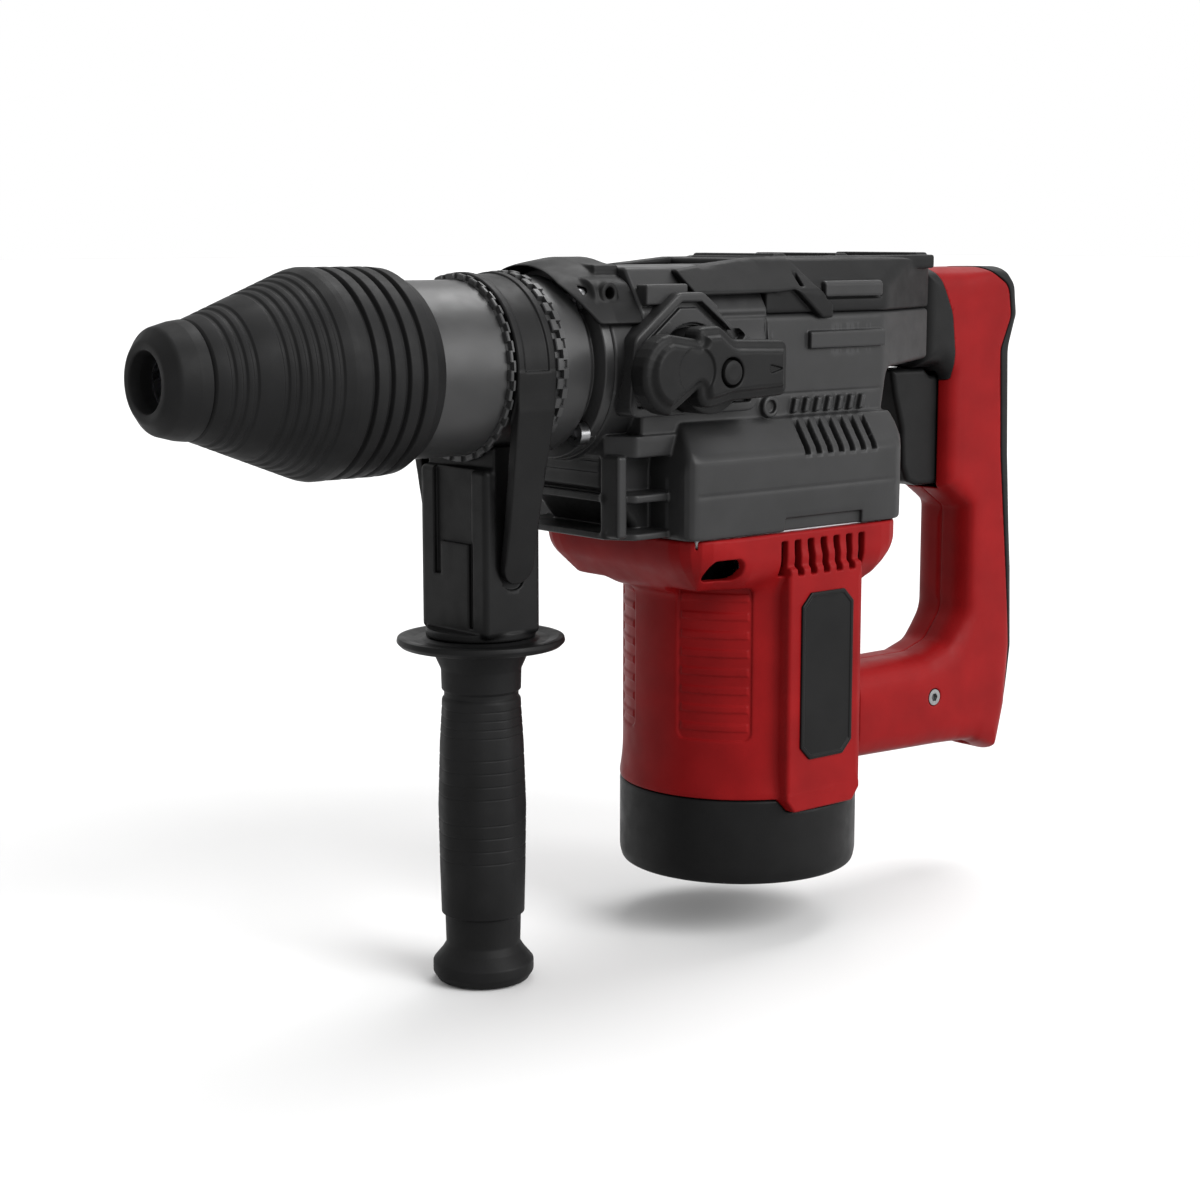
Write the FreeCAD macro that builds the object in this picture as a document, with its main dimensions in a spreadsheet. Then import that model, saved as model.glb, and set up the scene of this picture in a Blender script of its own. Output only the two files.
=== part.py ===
"""Rotary hammer with an upright motor, as a parametric document of separate sub-parts.

Millimetres. Origin: centre of the motor end cap's underside, where the tool stands. +Z runs up
the motor's axis. The spindle lies along X above it and the tool leaves towards -X. The mode knob
is on the -Y side. Lengths that drive the shape are in the document's sheet.
"""
import FreeCAD, Part
import math
import os
import Sketcher

DOC = FreeCAD.newDocument("RotaryHammer")
VECTOR = FreeCAD.Vector
NODES = []

DRIVING_SIZES = (
    # spindle and hammer mechanism, about the spindle's axis
    ("axis_height", 202),
    ("shank_bore", 9.05),
    ("holder_radius", 15),
    ("holder_front", -256),
    ("holder_rear", -158),
    ("cylinder_radius", 17),
    ("cylinder_bore", 14),
    ("cylinder_rear", -30),
    ("slider_radius", 13.95),
    ("sleeve_radius", 36),
    ("crank_x", 22),
    ("crank_throw", 12),
    ("rod_length", 60),
    ("wrist_x", -50),
    ("pinion_x", -32),
    # front housings
    ("barrel_radius", 31),
    ("barrel_front", -176),
    ("bulkhead_x", -96),
    ("bearing_seat", 24.05),
    ("running_gap", 0.05),
    # gear housing
    ("body_half_width", 35),
    ("belly_half_width", 47.5),
    ("belly_front", -70),
    ("belly_rear", 48),
    ("seam_height", 138),
    ("body_top", 237),
    ("shell_wall", 3.5),
    # motor
    ("motor_radius", 46.5),
    ("cap_radius", 47.5),
    ("cap_height", 34),
    ("motor_bore", 42),
    ("shaft_radius", 5),
    ("core_radius", 22.5),
    # rear handle
    ("handle_half_width", 17),
    ("handle_front", 90),
    # side handle
    ("clamp_x", -130),
    ("band_radius", 33.6),
    ("clamp_half_width", 19.5),
    ("grip_radius", 16),
    ("flange_radius", 30.7),
    ("grip_bottom", -24),
    # mode knob
    ("knob_x", -62),
    ("knob_z", 200),
    ("knob_face", -60),
)


class Size:
    """A length with the sheet formula that gives it."""

    def __init__(self, value, text, bound):
        self.value = value
        self.text = text
        self.bound = bound

    def joined(self, other, value, sign, swapped=False):
        first, second = (other, self) if swapped else (self, other)
        text = f"({first.text} {sign} {second.text})"
        return Size(value, text, self.bound or other.bound)

    def __add__(self, other):
        other = size(other)
        return self.joined(other, self.value + other.value, "+")

    def __sub__(self, other):
        other = size(other)
        return self.joined(other, self.value - other.value, "-")

    def __mul__(self, other):
        other = size(other)
        return self.joined(other, self.value * other.value, "*")

    def __truediv__(self, other):
        other = size(other)
        return self.joined(other, self.value / other.value, "/")

    def __radd__(self, other):
        return size(other) + self

    def __rsub__(self, other):
        return size(other) - self

    def __rmul__(self, other):
        return size(other) * self

    def __neg__(self):
        return size(0) - self


def size(length):
    """A plain number or a Size, as a Size."""
    if isinstance(length, Size):
        return length
    return Size(float(length), f"{length:.5f}", False)


def make_sheet():
    """The spreadsheet of driving sizes, and the same sizes by name."""
    sheet = DOC.addObject("Spreadsheet::Sheet", "Sizes")
    for row, (alias, value) in enumerate(DRIVING_SIZES, 1):
        sheet.set(f"A{row}", alias)
        sheet.set(f"B{row}", str(value))
        sheet.setAlias(f"B{row}", alias)
    DOC.recompute()
    return {alias: Size(sheet.get(alias), f"Sizes.{alias}", True) for alias, _ in DRIVING_SIZES}


D = make_sheet()
AXIS = D["axis_height"]


# --- helpers for bodies, sketches and features -------------------------------------------------

def new_body(label, x=0, y=0, z=0, node=True):
    """A body of its own, moved to (x, y, z)."""
    body = DOC.addObject("PartDesign::Body", label)
    body.Label = label
    for letter, length in (("x", x), ("y", y), ("z", z)):
        body.setExpression(f"Placement.Base.{letter}", size(length).text)
    if node:
        NODES.append(body)
    return body


def new_sketch(body, plane, offset):
    """A sketch on one of the body's own origin planes, moved along the plane's normal."""
    sketch = body.newObject("Sketcher::SketchObject", "Sketch")
    face = [f for f in body.Origin.OriginFeatures if f.Role == plane + "_Plane"][0]
    sketch.AttachmentSupport = [(face, "")]
    sketch.MapMode = "FlatFace"
    if plane == "XZ":
        offset = -size(offset)
    sketch.setExpression("AttachmentOffset.Base.z", size(offset).text)
    return sketch


def pin_point(sketch, geometry, point, u, v):
    """Hold a point of the sketch at (u, v)."""
    for kind, on_axis, length in (("DistanceX", -2, size(u)), ("DistanceY", -1, size(v))):
        if abs(length.value) < 1e-9:
            sketch.addConstraint(Sketcher.Constraint("PointOnObject", geometry, point, on_axis))
            continue
        held = Sketcher.Constraint(kind, -1, 1, geometry, point, length.value)
        index = sketch.addConstraint(held)
        if length.bound:
            sketch.setExpression(f"Constraints[{index}]", length.text)


def draw_polygon(sketch, points):
    """A closed outline of straight lines, each corner held by its own sizes."""
    ends = [VECTOR(size(u).value, size(v).value, 0) for u, v in points]
    first = sketch.GeometryCount
    count = len(points)
    for i in range(count):
        sketch.addGeometry(Part.LineSegment(ends[i], ends[(i + 1) % count]), False)
    for i in range(count):
        meet = (first + i, 2, first + (i + 1) % count, 1)
        sketch.addConstraint(Sketcher.Constraint("Coincident", *meet))
    for i, (u, v) in enumerate(points):
        pin_point(sketch, first + i, 1, u, v)


def draw_circle(sketch, centre, radius):
    u, v = centre
    middle = VECTOR(size(u).value, size(v).value, 0)
    radius = size(radius)
    index = sketch.addGeometry(Part.Circle(middle, VECTOR(0, 0, 1), radius.value), False)
    pin_point(sketch, index, 3, u, v)
    held = sketch.addConstraint(Sketcher.Constraint("Radius", index, radius.value))
    if radius.bound:
        sketch.setExpression(f"Constraints[{held}]", radius.text)


def extrude(body, kind, sketch, low, high):
    feature = body.newObject("PartDesign::" + kind, kind)
    feature.Profile = sketch
    feature.SideType = "Symmetric"
    feature.setExpression("Length", (size(high) - low).text)
    return feature


def slab(body, kind, plane, points, low, high):
    """Pad or Pocket a polygon between two heights along the plane's own world axis."""
    sketch = new_sketch(body, plane, (size(low) + high) / 2)
    draw_polygon(sketch, points)
    return extrude(body, kind, sketch, low, high)


def discs(body, kind, plane, centres, radius, low, high):
    """Pad or Pocket equal circles between two heights."""
    sketch = new_sketch(body, plane, (size(low) + high) / 2)
    for centre in centres:
        draw_circle(sketch, centre, radius)
    return extrude(body, kind, sketch, low, high)


def rectangle(u0, u1, v0, v1):
    return [(u0, v0), (u1, v0), (u1, v1), (u0, v1)]


def lathe(body, axis, profile, kind="Revolution"):
    """Turn a profile of (distance along the axis, radius) points about the body's own axis."""
    plane = {"X": "XZ", "Y": "YZ", "Z": "XZ"}[axis]
    sketch = new_sketch(body, plane, 0)
    if axis == "Z":
        draw_polygon(sketch, [(radius, along) for along, radius in profile])
    else:
        draw_polygon(sketch, profile)
    feature = body.newObject("PartDesign::" + kind, kind)
    feature.Profile = sketch
    feature.ReferenceAxis = (sketch, ["V_Axis" if axis == "Z" else "H_Axis"])
    feature.Angle = 360
    return feature


def soften(body, kind, length, chosen):
    """Fillet or chamfer the edges of the body that chosen() picks."""
    DOC.recompute()
    base = body.Tip
    names = [f"Edge{i}" for i, edge in enumerate(base.Shape.Edges, 1) if chosen(edge)]
    feature = body.newObject("PartDesign::" + kind, kind)
    feature.Base = (base, names)
    feature.setExpression("Radius" if kind == "Fillet" else "Size", size(length).text)
    DOC.recompute()
    return feature


def runs_along(edge, axis):
    """Whether a straight edge is parallel to a world axis."""
    if len(edge.Vertexes) != 2 or edge.Curve.TypeId != "Part::GeomLine":
        return False
    step = edge.Vertexes[1].Point - edge.Vertexes[0].Point
    return abs(getattr(step.normalize(), axis)) > 0.999


def ring(label, axis, low, high, inner, outer, **place):
    """A plain ring or tube about its own axis."""
    body = new_body(label, **place)
    lathe(body, axis, [(low, inner), (low, outer), (high, outer), (high, inner)])
    return body


def solid_node(label, shape, x=0, y=0, z=0):
    """A node whose toothed, coiled or repeated form is computed rather than sketched."""
    feature = DOC.addObject("Part::Feature", label)
    feature.Label = label
    feature.Shape = shape
    moved = FreeCAD.Placement(VECTOR(x, y, z), FreeCAD.Rotation())
    feature.Placement = moved.multiply(shape.Placement)
    NODES.append(feature)
    return feature


def copies(shape, places):
    """One compound of a shape at several placements."""
    made = []
    for place in places:
        one = shape.copy()
        one.Placement = place
        made.append(one)
    return Part.makeCompound(made)


def facing(direction, at):
    """The placement that turns +Z to a direction and moves the origin to a point."""
    turn = FreeCAD.Rotation(VECTOR(0, 0, 1), VECTOR(*direction))
    return FreeCAD.Placement(VECTOR(*at), turn)


# --- gears, bearings, screws and springs -------------------------------------------------------

def involute(angle):
    return math.tan(angle) - angle


def spur_gear(teeth, module, tip_share, width, bore, turn=0.0, low=0.0):
    """A spur gear about Z with involute flanks and a little backlash."""
    pressure = math.radians(20)
    pitch = teeth * module / 2
    base = pitch * math.cos(pressure)
    tip = pitch + tip_share * module
    root = pitch - 1.2 * module
    half_tooth = 0.46 * math.pi / teeth
    flank = []
    steps = 6
    start = max(base, root)
    for i in range(steps):
        radius = start + (tip - start) * i / (steps - 1)
        roll = math.acos(base / radius) if radius > base else 0.0
        flank.append((radius, half_tooth + involute(pressure) - involute(roll)))
    if root < start:
        flank.insert(0, (root, flank[0][1]))
    points = []
    for k in range(teeth):
        middle = turn + 2 * math.pi * k / teeth
        for radius, half in flank:
            points.append((radius, middle - half))
        for radius, half in reversed(flank):
            points.append((radius, middle + half))
    corners = [VECTOR(r * math.cos(a), r * math.sin(a), low) for r, a in points]
    outline = Part.makePolygon(corners + corners[:1])
    blank = Part.Face(outline).extrude(VECTOR(0, 0, width))
    hole = Part.makeCylinder(bore, width + 2, VECTOR(0, 0, low - 1))
    return blank.cut(hole)


def bevel_tooth(pitch, cone, module, width, share):
    """One straight bevel tooth at angle zero: it shrinks evenly towards the cone's apex.

    The gear's axis is +Z, with the apex at the origin and the teeth below it.
    """
    reach = pitch / math.sin(cone)
    half_pitch = math.pi * module * share / 2
    slope = math.tan(math.radians(20))
    outward = VECTOR(math.cos(cone), 0, math.sin(cone))
    middle = VECTOR(pitch, 0, -reach * math.cos(cone))
    section = []
    for lift, side in ((-1.25, -1), (0.95, -1), (0.95, 1), (-1.25, 1)):
        half = half_pitch - lift * module * slope
        section.append(middle + outward * (lift * module) + VECTOR(0, side * half, 0))
    inner = [point * ((reach - width) / reach) for point in section]
    faces = [Part.Face(Part.makePolygon(section + section[:1]))]
    faces.append(Part.Face(Part.makePolygon(inner + inner[:1])))
    for i in range(4):
        j = (i + 1) % 4
        loop = [section[i], section[j], inner[j], inner[i], section[i]]
        faces.append(Part.Face(Part.makePolygon(loop)))
    return Part.Solid(Part.Shell(faces))


def bevel_gear(teeth, pitch, mate_pitch, module, width, share, hub_profile, turn=0.0):
    """A bevel gear about +Z with its apex at the origin, from a turned hub and its teeth."""
    cone = math.atan2(pitch, mate_pitch)
    tooth = bevel_tooth(pitch, cone, module, width, share)
    points = [VECTOR(radius, 0, along) for along, radius in hub_profile]
    face = Part.Face(Part.makePolygon(points + points[:1]))
    hub = face.revolve(VECTOR(0, 0, 0), VECTOR(0, 0, 1), 360)
    made = []
    for k in range(teeth):
        one = tooth.copy()
        one.rotate(VECTOR(0, 0, 0), VECTOR(0, 0, 1), math.degrees(turn) + 360 * k / teeth)
        made.append(one)
    return hub.fuse(made).removeSplitter()


def ball_bearing(bore, outer, width, balls):
    """Outer ring, inner ring and balls about Z, centred on the origin, as separate solids."""
    gap = 0.02
    middle = (bore + outer) / 2
    ball = (outer - bore) * 0.28
    groove = Part.makeTorus(middle, ball + gap)
    base = VECTOR(0, 0, -width / 2)

    def tube(inside, outside):
        return Part.makeCylinder(outside, width, base).cut(
            Part.makeCylinder(inside, width, base))

    land = (outer - bore) * 0.14
    solids = [tube(bore, middle - land).cut(groove), tube(middle + land, outer).cut(groove)]
    for k in range(balls):
        angle = 2 * math.pi * k / balls
        centre = VECTOR(middle * math.cos(angle), middle * math.sin(angle), 0)
        solids.append(Part.makeSphere(ball, centre))
    return Part.makeCompound(solids)


def socket_screw(head, head_height, shank, length):
    """A cap screw along -Z from its head's underside, with a hexagon socket."""
    body = Part.makeCylinder(head, head_height)
    body = body.fuse(Part.makeCylinder(shank, length, VECTOR(0, 0, -length)))
    across = head * 0.55
    corners = []
    for k in range(6):
        angle = math.pi * k / 3
        corners.append(VECTOR(across * math.cos(angle), across * math.sin(angle), head_height))
    socket = Part.Face(Part.makePolygon(corners + corners[:1]))
    return body.cut(socket.extrude(VECTOR(0, 0, -head_height * 0.6))).removeSplitter()


# --- spindle, chuck and hammer mechanism -------------------------------------------------------

def make_tool_holder():
    """The front tube that takes the tool's shank, with two slots for the locking rollers."""
    body = new_body("tool_holder", z=AXIS)
    bore = D["shank_bore"]
    outer = D["holder_radius"]
    front = D["holder_front"]
    rear = D["holder_rear"]
    relief = bore + 0.5
    lathe(body, "X", [
        (front, bore), (front, outer), (rear - 8, outer), (rear - 8, D["cylinder_radius"]),
        (rear, D["cylinder_radius"]), (rear, bore), (front + 50, bore), (front + 50, relief),
        (front + 32, relief), (front + 32, bore)])
    slab(body, "Pocket", "XY", rectangle(front + 34, front + 48, -3.2, 3.2), -outer - 1, outer + 1)
    slab(body, "Pad", "XZ", rectangle(rear - 46, rear - 22, bore - 1.6, bore + 1), -1.6, 1.6)


def make_chuck():
    """Everything on the tool holder: rollers, lock ring, spring, seat, cap and outer sleeve."""
    front = D["holder_front"]
    outer = D["holder_radius"]
    roller = Part.makeCylinder(3, 13, VECTOR(0, 0, 0), VECTOR(1, 0, 0))
    start = front.value + 34.5
    places = [FreeCAD.Placement(VECTOR(start, 0, z), FreeCAD.Rotation()) for z in (-12.25, 12.25)]
    solid_node("locking_rollers", copies(roller, places), z=AXIS.value)
    ring("lock_ring", "X", front + 34, front + 48.1, outer + 0.45, outer + 5, z=AXIS)
    ring("spring_seat", "X", front + 72, front + 75, outer + 0.02, outer + 4.5, z=AXIS)
    cap = new_body("dust_cap", z=AXIS)
    lathe(cap, "X", [
        (front - 8.4, outer - 5.3), (front - 8.4, outer - 2), (front - 7, outer + 1.6),
        (front - 4, outer + 3.4), (front + 5.7, outer + 4.8), (front + 5.7, outer + 0.02),
        (front, outer + 0.02), (front, outer - 5.3)])
    make_chuck_spring(front.value + 48.6, front.value + 71.5)
    make_chuck_sleeve()


def make_chuck_spring(low, high):
    """Coil spring between the lock ring and its seat; the wire is swept as a twelve-sided bar."""
    wire = 0.9
    sides = 12
    coil = D["holder_radius"].value + 2.6
    turns = 5
    rise = high - low - 2 * wire
    helix = Part.makeHelix(rise / turns, rise, coil)
    corners = []
    for k in range(sides + 1):
        angle = 2 * math.pi * (k % sides) / sides
        corners.append(VECTOR(coil + wire * math.cos(angle), 0, wire * math.sin(angle)))
    section = Part.makePolygon(corners)
    coil_shape = Part.Wire(helix).makePipeShell([section], True, True)
    coil_shape.rotate(VECTOR(0, 0, 0), VECTOR(0, 1, 0), 90)
    solid_node("chuck_spring", coil_shape, x=low + wire, z=AXIS.value)


def make_chuck_sleeve():
    """The ribbed outer sleeve that is pulled back to free the tool."""
    body = new_body("chuck_sleeve", z=AXIS)
    front = D["holder_front"] + 6
    radius = D["sleeve_radius"]
    bore = D["holder_radius"] + 0.3
    shoulder = front + 46
    rib_count = 4
    pitch = 7.4
    ribs = []
    for k in range(rib_count):
        rise = shoulder + pitch * k
        ribs += [(rise, radius), (rise + 5.4, radius), (rise + 6.0, radius - 1.8)]
        ribs += [(rise + 6.8, radius - 1.8)]
    rear = shoulder + 36
    mouth = D["barrel_radius"] + 0.6
    lathe(body, "X", [
        (front, bore), (front, bore + 3.6), (front + 1.2, bore + 5)] + ribs + [
        (rear - 6, radius), (rear - 2, radius - 1.2), (rear, mouth + 1.4), (rear, mouth),
        (front + 50, mouth), (front + 50, bore + 4.7), (front + 18, bore + 4.7),
        (front + 18, bore)])


def make_hammer_cylinder():
    body = new_body("hammer_cylinder", z=AXIS)
    front = D["holder_rear"]
    lathe(body, "X", [
        (front, D["cylinder_bore"]), (front, D["cylinder_radius"]),
        (D["cylinder_rear"], D["cylinder_radius"]), (D["cylinder_rear"], D["cylinder_bore"])])
    reach = D["cylinder_radius"] + 1
    discs(body, "Pocket", "XY", [(front + 62, 0)], 1.5, -reach, reach)


def make_strikers():
    """Impact bolt, ram and piston: the three pieces that slide in the cylinder."""
    slide = D["slider_radius"]
    rear = D["holder_rear"]
    bolt = new_body("impact_bolt", z=AXIS)
    lathe(bolt, "X", [
        (rear - 14, 0), (rear - 14, 6), (rear - 12, 8), (rear + 8, 8), (rear + 8, slide),
        (rear + 20, slide), (rear + 20, 8.5), (rear + 36, 8.5), (rear + 37, 7.5), (rear + 37, 0)])
    for name, low, high, groove in (("ram", -116, -84, -96), ("piston", -66, -42, -61)):
        body = new_body(name, z=AXIS)
        lathe(body, "X", [
            (low, 0), (low, slide - 1), (low + 1, slide), (groove, slide), (groove, slide - 1.5),
            (groove + 2, slide - 1.5), (groove + 2, slide), (high, slide), (high, 0)])
        if name == "piston":
            slot = rectangle(D["wrist_x"] - 8.5, high + 1, -9, 9)
            slab(body, "Pocket", "XY", slot, -4.4, 4.4)
            discs(body, "Pocket", "XY", [(D["wrist_x"], 0)], 4.02, -16, 16)
        ring(name + "_seal", "X", groove + 0.1, groove + 1.9, slide - 1.45, slide, z=AXIS)
    pin = new_body("wrist_pin", x=D["wrist_x"], z=AXIS)
    lathe(pin, "Z", [(-12.5, 0), (-12.5, 3.4), (-12, 4), (12, 4), (12.5, 3.4), (12.5, 0)])


def make_connecting_rod():
    """The rod from the wrist pin to the crank, lying flat at front dead centre."""
    body = new_body("connecting_rod", x=D["wrist_x"], z=AXIS)
    length = D["rod_length"]
    discs(body, "Pad", "XY", [(0, 0)], 8, -4, 4)
    slab(body, "Pad", "XY", [(2, -4.5), (length, -5), (length, 5), (2, 4.5)], -4, 4)
    discs(body, "Pad", "XY", [(length, 0)], 9, -4, 4)
    discs(body, "Pocket", "XY", [(0, 0)], 4 + D["running_gap"], -5, 5)
    discs(body, "Pocket", "XY", [(length, 0)], 5.1, -5, 5)


def make_gear_train():
    """Armature pinion's two wheels, the crank, the bevel pinion and the cylinder's ring gear."""
    module = 0.8
    crank = new_body("crankshaft", x=D["crank_x"])
    lathe(crank, "Z", [
        (134.8, 0), (134.8, 4), (143, 4), (143, 6), (179, 6), (179, 9), (181, 9), (181, 17),
        (190, 17), (190, 0)])
    discs(crank, "Pad", "XY", [(-D["crank_throw"], 0)], 4.6, 189, AXIS - 4.3)
    crank_wheel = spur_gear(45, module, 0.7, 7, 6, turn=math.pi + math.pi / 45, low=145)
    solid_node("crank_gear", crank_wheel, x=D["crank_x"].value)
    wheel = spur_gear(70, module, 0.7, 7, 5, turn=math.pi / 70, low=145)
    solid_node("intermediate_gear", wheel, x=D["pinion_x"].value)
    make_bevels()


def make_bevels():
    """The bevel pinion on the intermediate shaft and the ring gear that it turns."""
    small = 8.0
    large = 24.0
    width = 6.0
    module = 2 * large / 36
    share = 0.385
    floor = 134.8 - AXIS.value
    hub = [
        (floor, 0), (floor, 4), (143 - AXIS.value, 4), (143 - AXIS.value, 5), (-32, 5), (-32, 6),
        (-25.4, 6), (-24.4, 6.2), (-18.8, 4.4), (-18.8, 0)]
    pinion = bevel_gear(12, small, large, module, width, share, hub)
    solid_node("bevel_pinion", pinion, x=D["pinion_x"].value, z=AXIS.value)
    inside = D["cylinder_radius"].value + 0.02
    ring_hub = [
        (-19, inside), (-19, 22), (-14, 26), (-9.8, 23.6), (-7.9, 17.9), (-7.9, inside)]
    half_step = math.pi / 36
    gear = bevel_gear(36, large, small, module, width, share, ring_hub, turn=half_step)
    gear.rotate(VECTOR(0, 0, 0), VECTOR(0, 1, 0), 90)
    solid_node("cylinder_gear", gear, x=D["pinion_x"].value, z=AXIS.value)


def make_bearings():
    """Ball bearings of the spindle, the gear shafts and the armature."""
    gap = D["running_gap"].value
    seat = D["bearing_seat"].value - 0.03
    spindle = ball_bearing(D["cylinder_radius"].value + gap, seat, 11, 14)
    places = [facing((1, 0, 0), (x, 0, AXIS.value)) for x in (-150, -66)]
    solid_node("spindle_bearings", copies(spindle, places))
    lower = ball_bearing(4 + gap, 8, 6, 7)
    shafts = (D["crank_x"].value, D["pinion_x"].value)
    solids = copies(lower, [facing((0, 0, 1), (x, 0, 138)) for x in shafts]).Solids
    for x, bore, outer in ((shafts[0], 6, 13), (shafts[1], 5, 11)):
        upper = ball_bearing(bore + gap, outer, 7.8, 8)
        solids += copies(upper, [facing((0, 0, 1), (x, 0, 162))]).Solids
    solid_node("gear_shaft_bearings", Part.makeCompound(solids))
    motor = ball_bearing(D["shaft_radius"].value + gap, 11, 7.6, 8)
    places = [facing((0, 0, 1), (0, 0, z)) for z in (10, 138)]
    solid_node("armature_bearings", copies(motor, places))
    ring("spindle_seal", "X", -172.9, -167, D["holder_radius"] + 0.1, D["bearing_seat"] - 0.03,
         z=AXIS)


# --- housings ----------------------------------------------------------------------------------

SCREW_CORNERS = [(y, z) for y in (-22, 22) for z in (-24, 24)]


def make_barrel_housing():
    """The tube between the chuck and the gear housing, with its four-lobed flange."""
    body = new_body("barrel_housing", z=AXIS)
    front = D["barrel_front"]
    radius = D["barrel_radius"]
    bulkhead = D["bulkhead_x"]
    seat = D["bearing_seat"]
    lathe(body, "X", [
        (front, D["holder_radius"] + 0.6), (front, radius - 1.5), (front + 1.5, radius),
        (bulkhead - 20, radius), (bulkhead - 19, radius + 1), (bulkhead - 8, radius + 1),
        (bulkhead - 8, 28), (bulkhead - 4, 28), (bulkhead - 4, radius + 4),
        (bulkhead, radius + 4), (bulkhead, seat), (front + 3, seat),
        (front + 3, D["holder_radius"] + 0.6)])
    discs(body, "Pad", "YZ", SCREW_CORNERS, 6.5, bulkhead - 4, bulkhead)
    discs(body, "Pocket", "YZ", SCREW_CORNERS, 2.6, bulkhead - 5, bulkhead + 1)
    rings = []
    inside = radius.value + 0.05
    for low, high, rise in ((-141.3, -139, 2.2), (-121, -116.2, 3)):
        outer = Part.makeCylinder(
            radius.value + rise, high - low, VECTOR(low, 0, 0), VECTOR(1, 0, 0))
        inner = Part.makeCylinder(inside, high - low, VECTOR(low, 0, 0), VECTOR(1, 0, 0))
        rings.append(outer.cut(inner))
    solid_node("detent_rings", Part.makeCompound(rings), z=AXIS.value)
    screw = socket_screw(4.2, 4, 2.5, 13)
    at_x = bulkhead.value - 4
    places = [facing((-1, 0, 0), (at_x, y, AXIS.value + z)) for y, z in SCREW_CORNERS]
    solid_node("barrel_screws", copies(screw, places))


def make_gear_housing():
    """The grey casting that holds the gears, from the bulkhead to the rear handle."""
    body = new_body("gear_housing")
    half = D["body_half_width"]
    belly = D["belly_half_width"]
    front = D["belly_front"]
    rear = D["belly_rear"]
    seam = D["seam_height"]
    top = D["body_top"]
    bulkhead = D["bulkhead_x"]
    wall = D["shell_wall"]
    belly_section = [
        (-belly, seam), (belly, seam), (belly, seam + 29), (half + 1, seam + 42),
        (-half - 1, seam + 42), (-belly, seam + 29)]
    slab(body, "Pad", "YZ", belly_section, front, rear)
    soften(body, "Fillet", 13, lambda edge: runs_along(edge, "z"))
    crown = [
        (-half, seam + 38), (half, seam + 38), (half, top - 11), (half - 10, top),
        (10 - half, top), (-half, top - 11)]
    slab(body, "Pad", "YZ", crown, bulkhead, -20)
    for side in (-1, 1):
        snout = [
            (-85, 0), (-85, side * 18), (front, side * half), (front + 6, side * half),
            (front + 6, 0)]
        slab(body, "Pad", "XY", snout, seam + 6, seam + 40)
    slab(body, "Pad", "XZ", [
        (-85, seam + 8), (-74, seam - 4), (front - 0.4, seam - 4), (front - 0.4, seam + 8)], -18, 18)
    tail = [
        (-20, -half + 1), (45, -half + 1), (D["handle_front"] - 0.4, -18),
        (D["handle_front"] - 0.4, 18), (45, half - 1), (-20, half - 1)]
    slab(body, "Pad", "XY", tail, 196, 219)
    slab(body, "Pad", "XY", rectangle(-20, rear - 3, -half + 1, half - 1), seam + 40, 197)
    lugs = [(y, AXIS + z) for y, z in SCREW_CORNERS]
    discs(body, "Pad", "YZ", lugs, 6.5, bulkhead, -80)
    for low, high in ((152.5, 155.5), (170, 177)):
        for side in (-1, 1):
            fin = [(-93, 0), (-93, side * 26), (-86, side * half), (front + 4, side * half),
                   (front + 4, 0)]
            slab(body, "Pad", "XY", fin, low, high)
    hollow_gear_housing(body, half, belly, front, rear, seam, top, wall)


def hollow_gear_housing(body, half, belly, front, rear, seam, top, wall):
    """The rooms for the gears and crank, the bores and the vents."""
    slab(body, "Pocket", "XY",
         rectangle(front + wall, rear - wall, wall - belly, belly - wall), seam - 1, seam + 29)
    slab(body, "Pocket", "XY", rectangle(-58, rear - 6, wall - half, half - wall), 165, top - 20.5)
    slab(body, "Pocket", "XY", rectangle(-58, -24, wall - half, half - wall), 200, top - 13)
    slab(body, "Pocket", "XY", rectangle(-58, -24, 14 - half, half - 14), 200, top - wall)
    slab(body, "Pocket", "XY", rectangle(0, 44, 4 - half, half - 4), 197.5, 216)
    slab(body, "Pocket", "XY", rectangle(40, 84, -13, 13), 201, 216)
    discs(body, "Pocket", "YZ", [(0, AXIS)], D["bearing_seat"], D["bulkhead_x"] - 1, -57)
    lugs = [(y, AXIS + z) for y, z in SCREW_CORNERS]
    discs(body, "Pocket", "YZ", lugs, 2.6, D["bulkhead_x"] - 1, -86)
    knob = [(D["knob_x"], D["knob_z"])]
    discs(body, "Pocket", "XZ", knob, 6 + D["running_gap"], -half - 1, -half + 12)
    for k in range(6):
        low = -10 + 6.6 * k
        vent = [(low, 168), (low + 2.6, 168), (low + 6.4, 185), (low + 3.8, 185)]
        slab(body, "Pocket", "XZ", vent, -belly - 1, -half + 4.5)


def make_top_cover():
    """The moulded cover over the rear of the gear housing, with three raised bars."""
    body = new_body("top_cover")
    half = D["body_half_width"] - 1
    rear = D["handle_front"] - 0.5
    low = 219
    high = 239.6
    outline = [(-19.8, -half), (45, -half), (rear, -18), (rear, 18), (45, half), (-19.8, half)]
    slab(body, "Pad", "XY", outline, low, high)
    soften(body, "Chamfer", 4, lambda edge: runs_along(edge, "x") and edge.BoundBox.ZMin > 230)
    inner = [(-16, 4 - half), (44, 4 - half), (rear - 4, -14), (rear - 4, 14), (44, half - 4),
             (-16, half - 4)]
    slab(body, "Pocket", "XY", inner, low - 1, high - 3.5)
    for x in (-16, 28, 79):
        slab(body, "Pad", "XY", rectangle(x - 3.5, x + 3.5, -9, 9), high - 1, high + 2.6)


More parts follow.
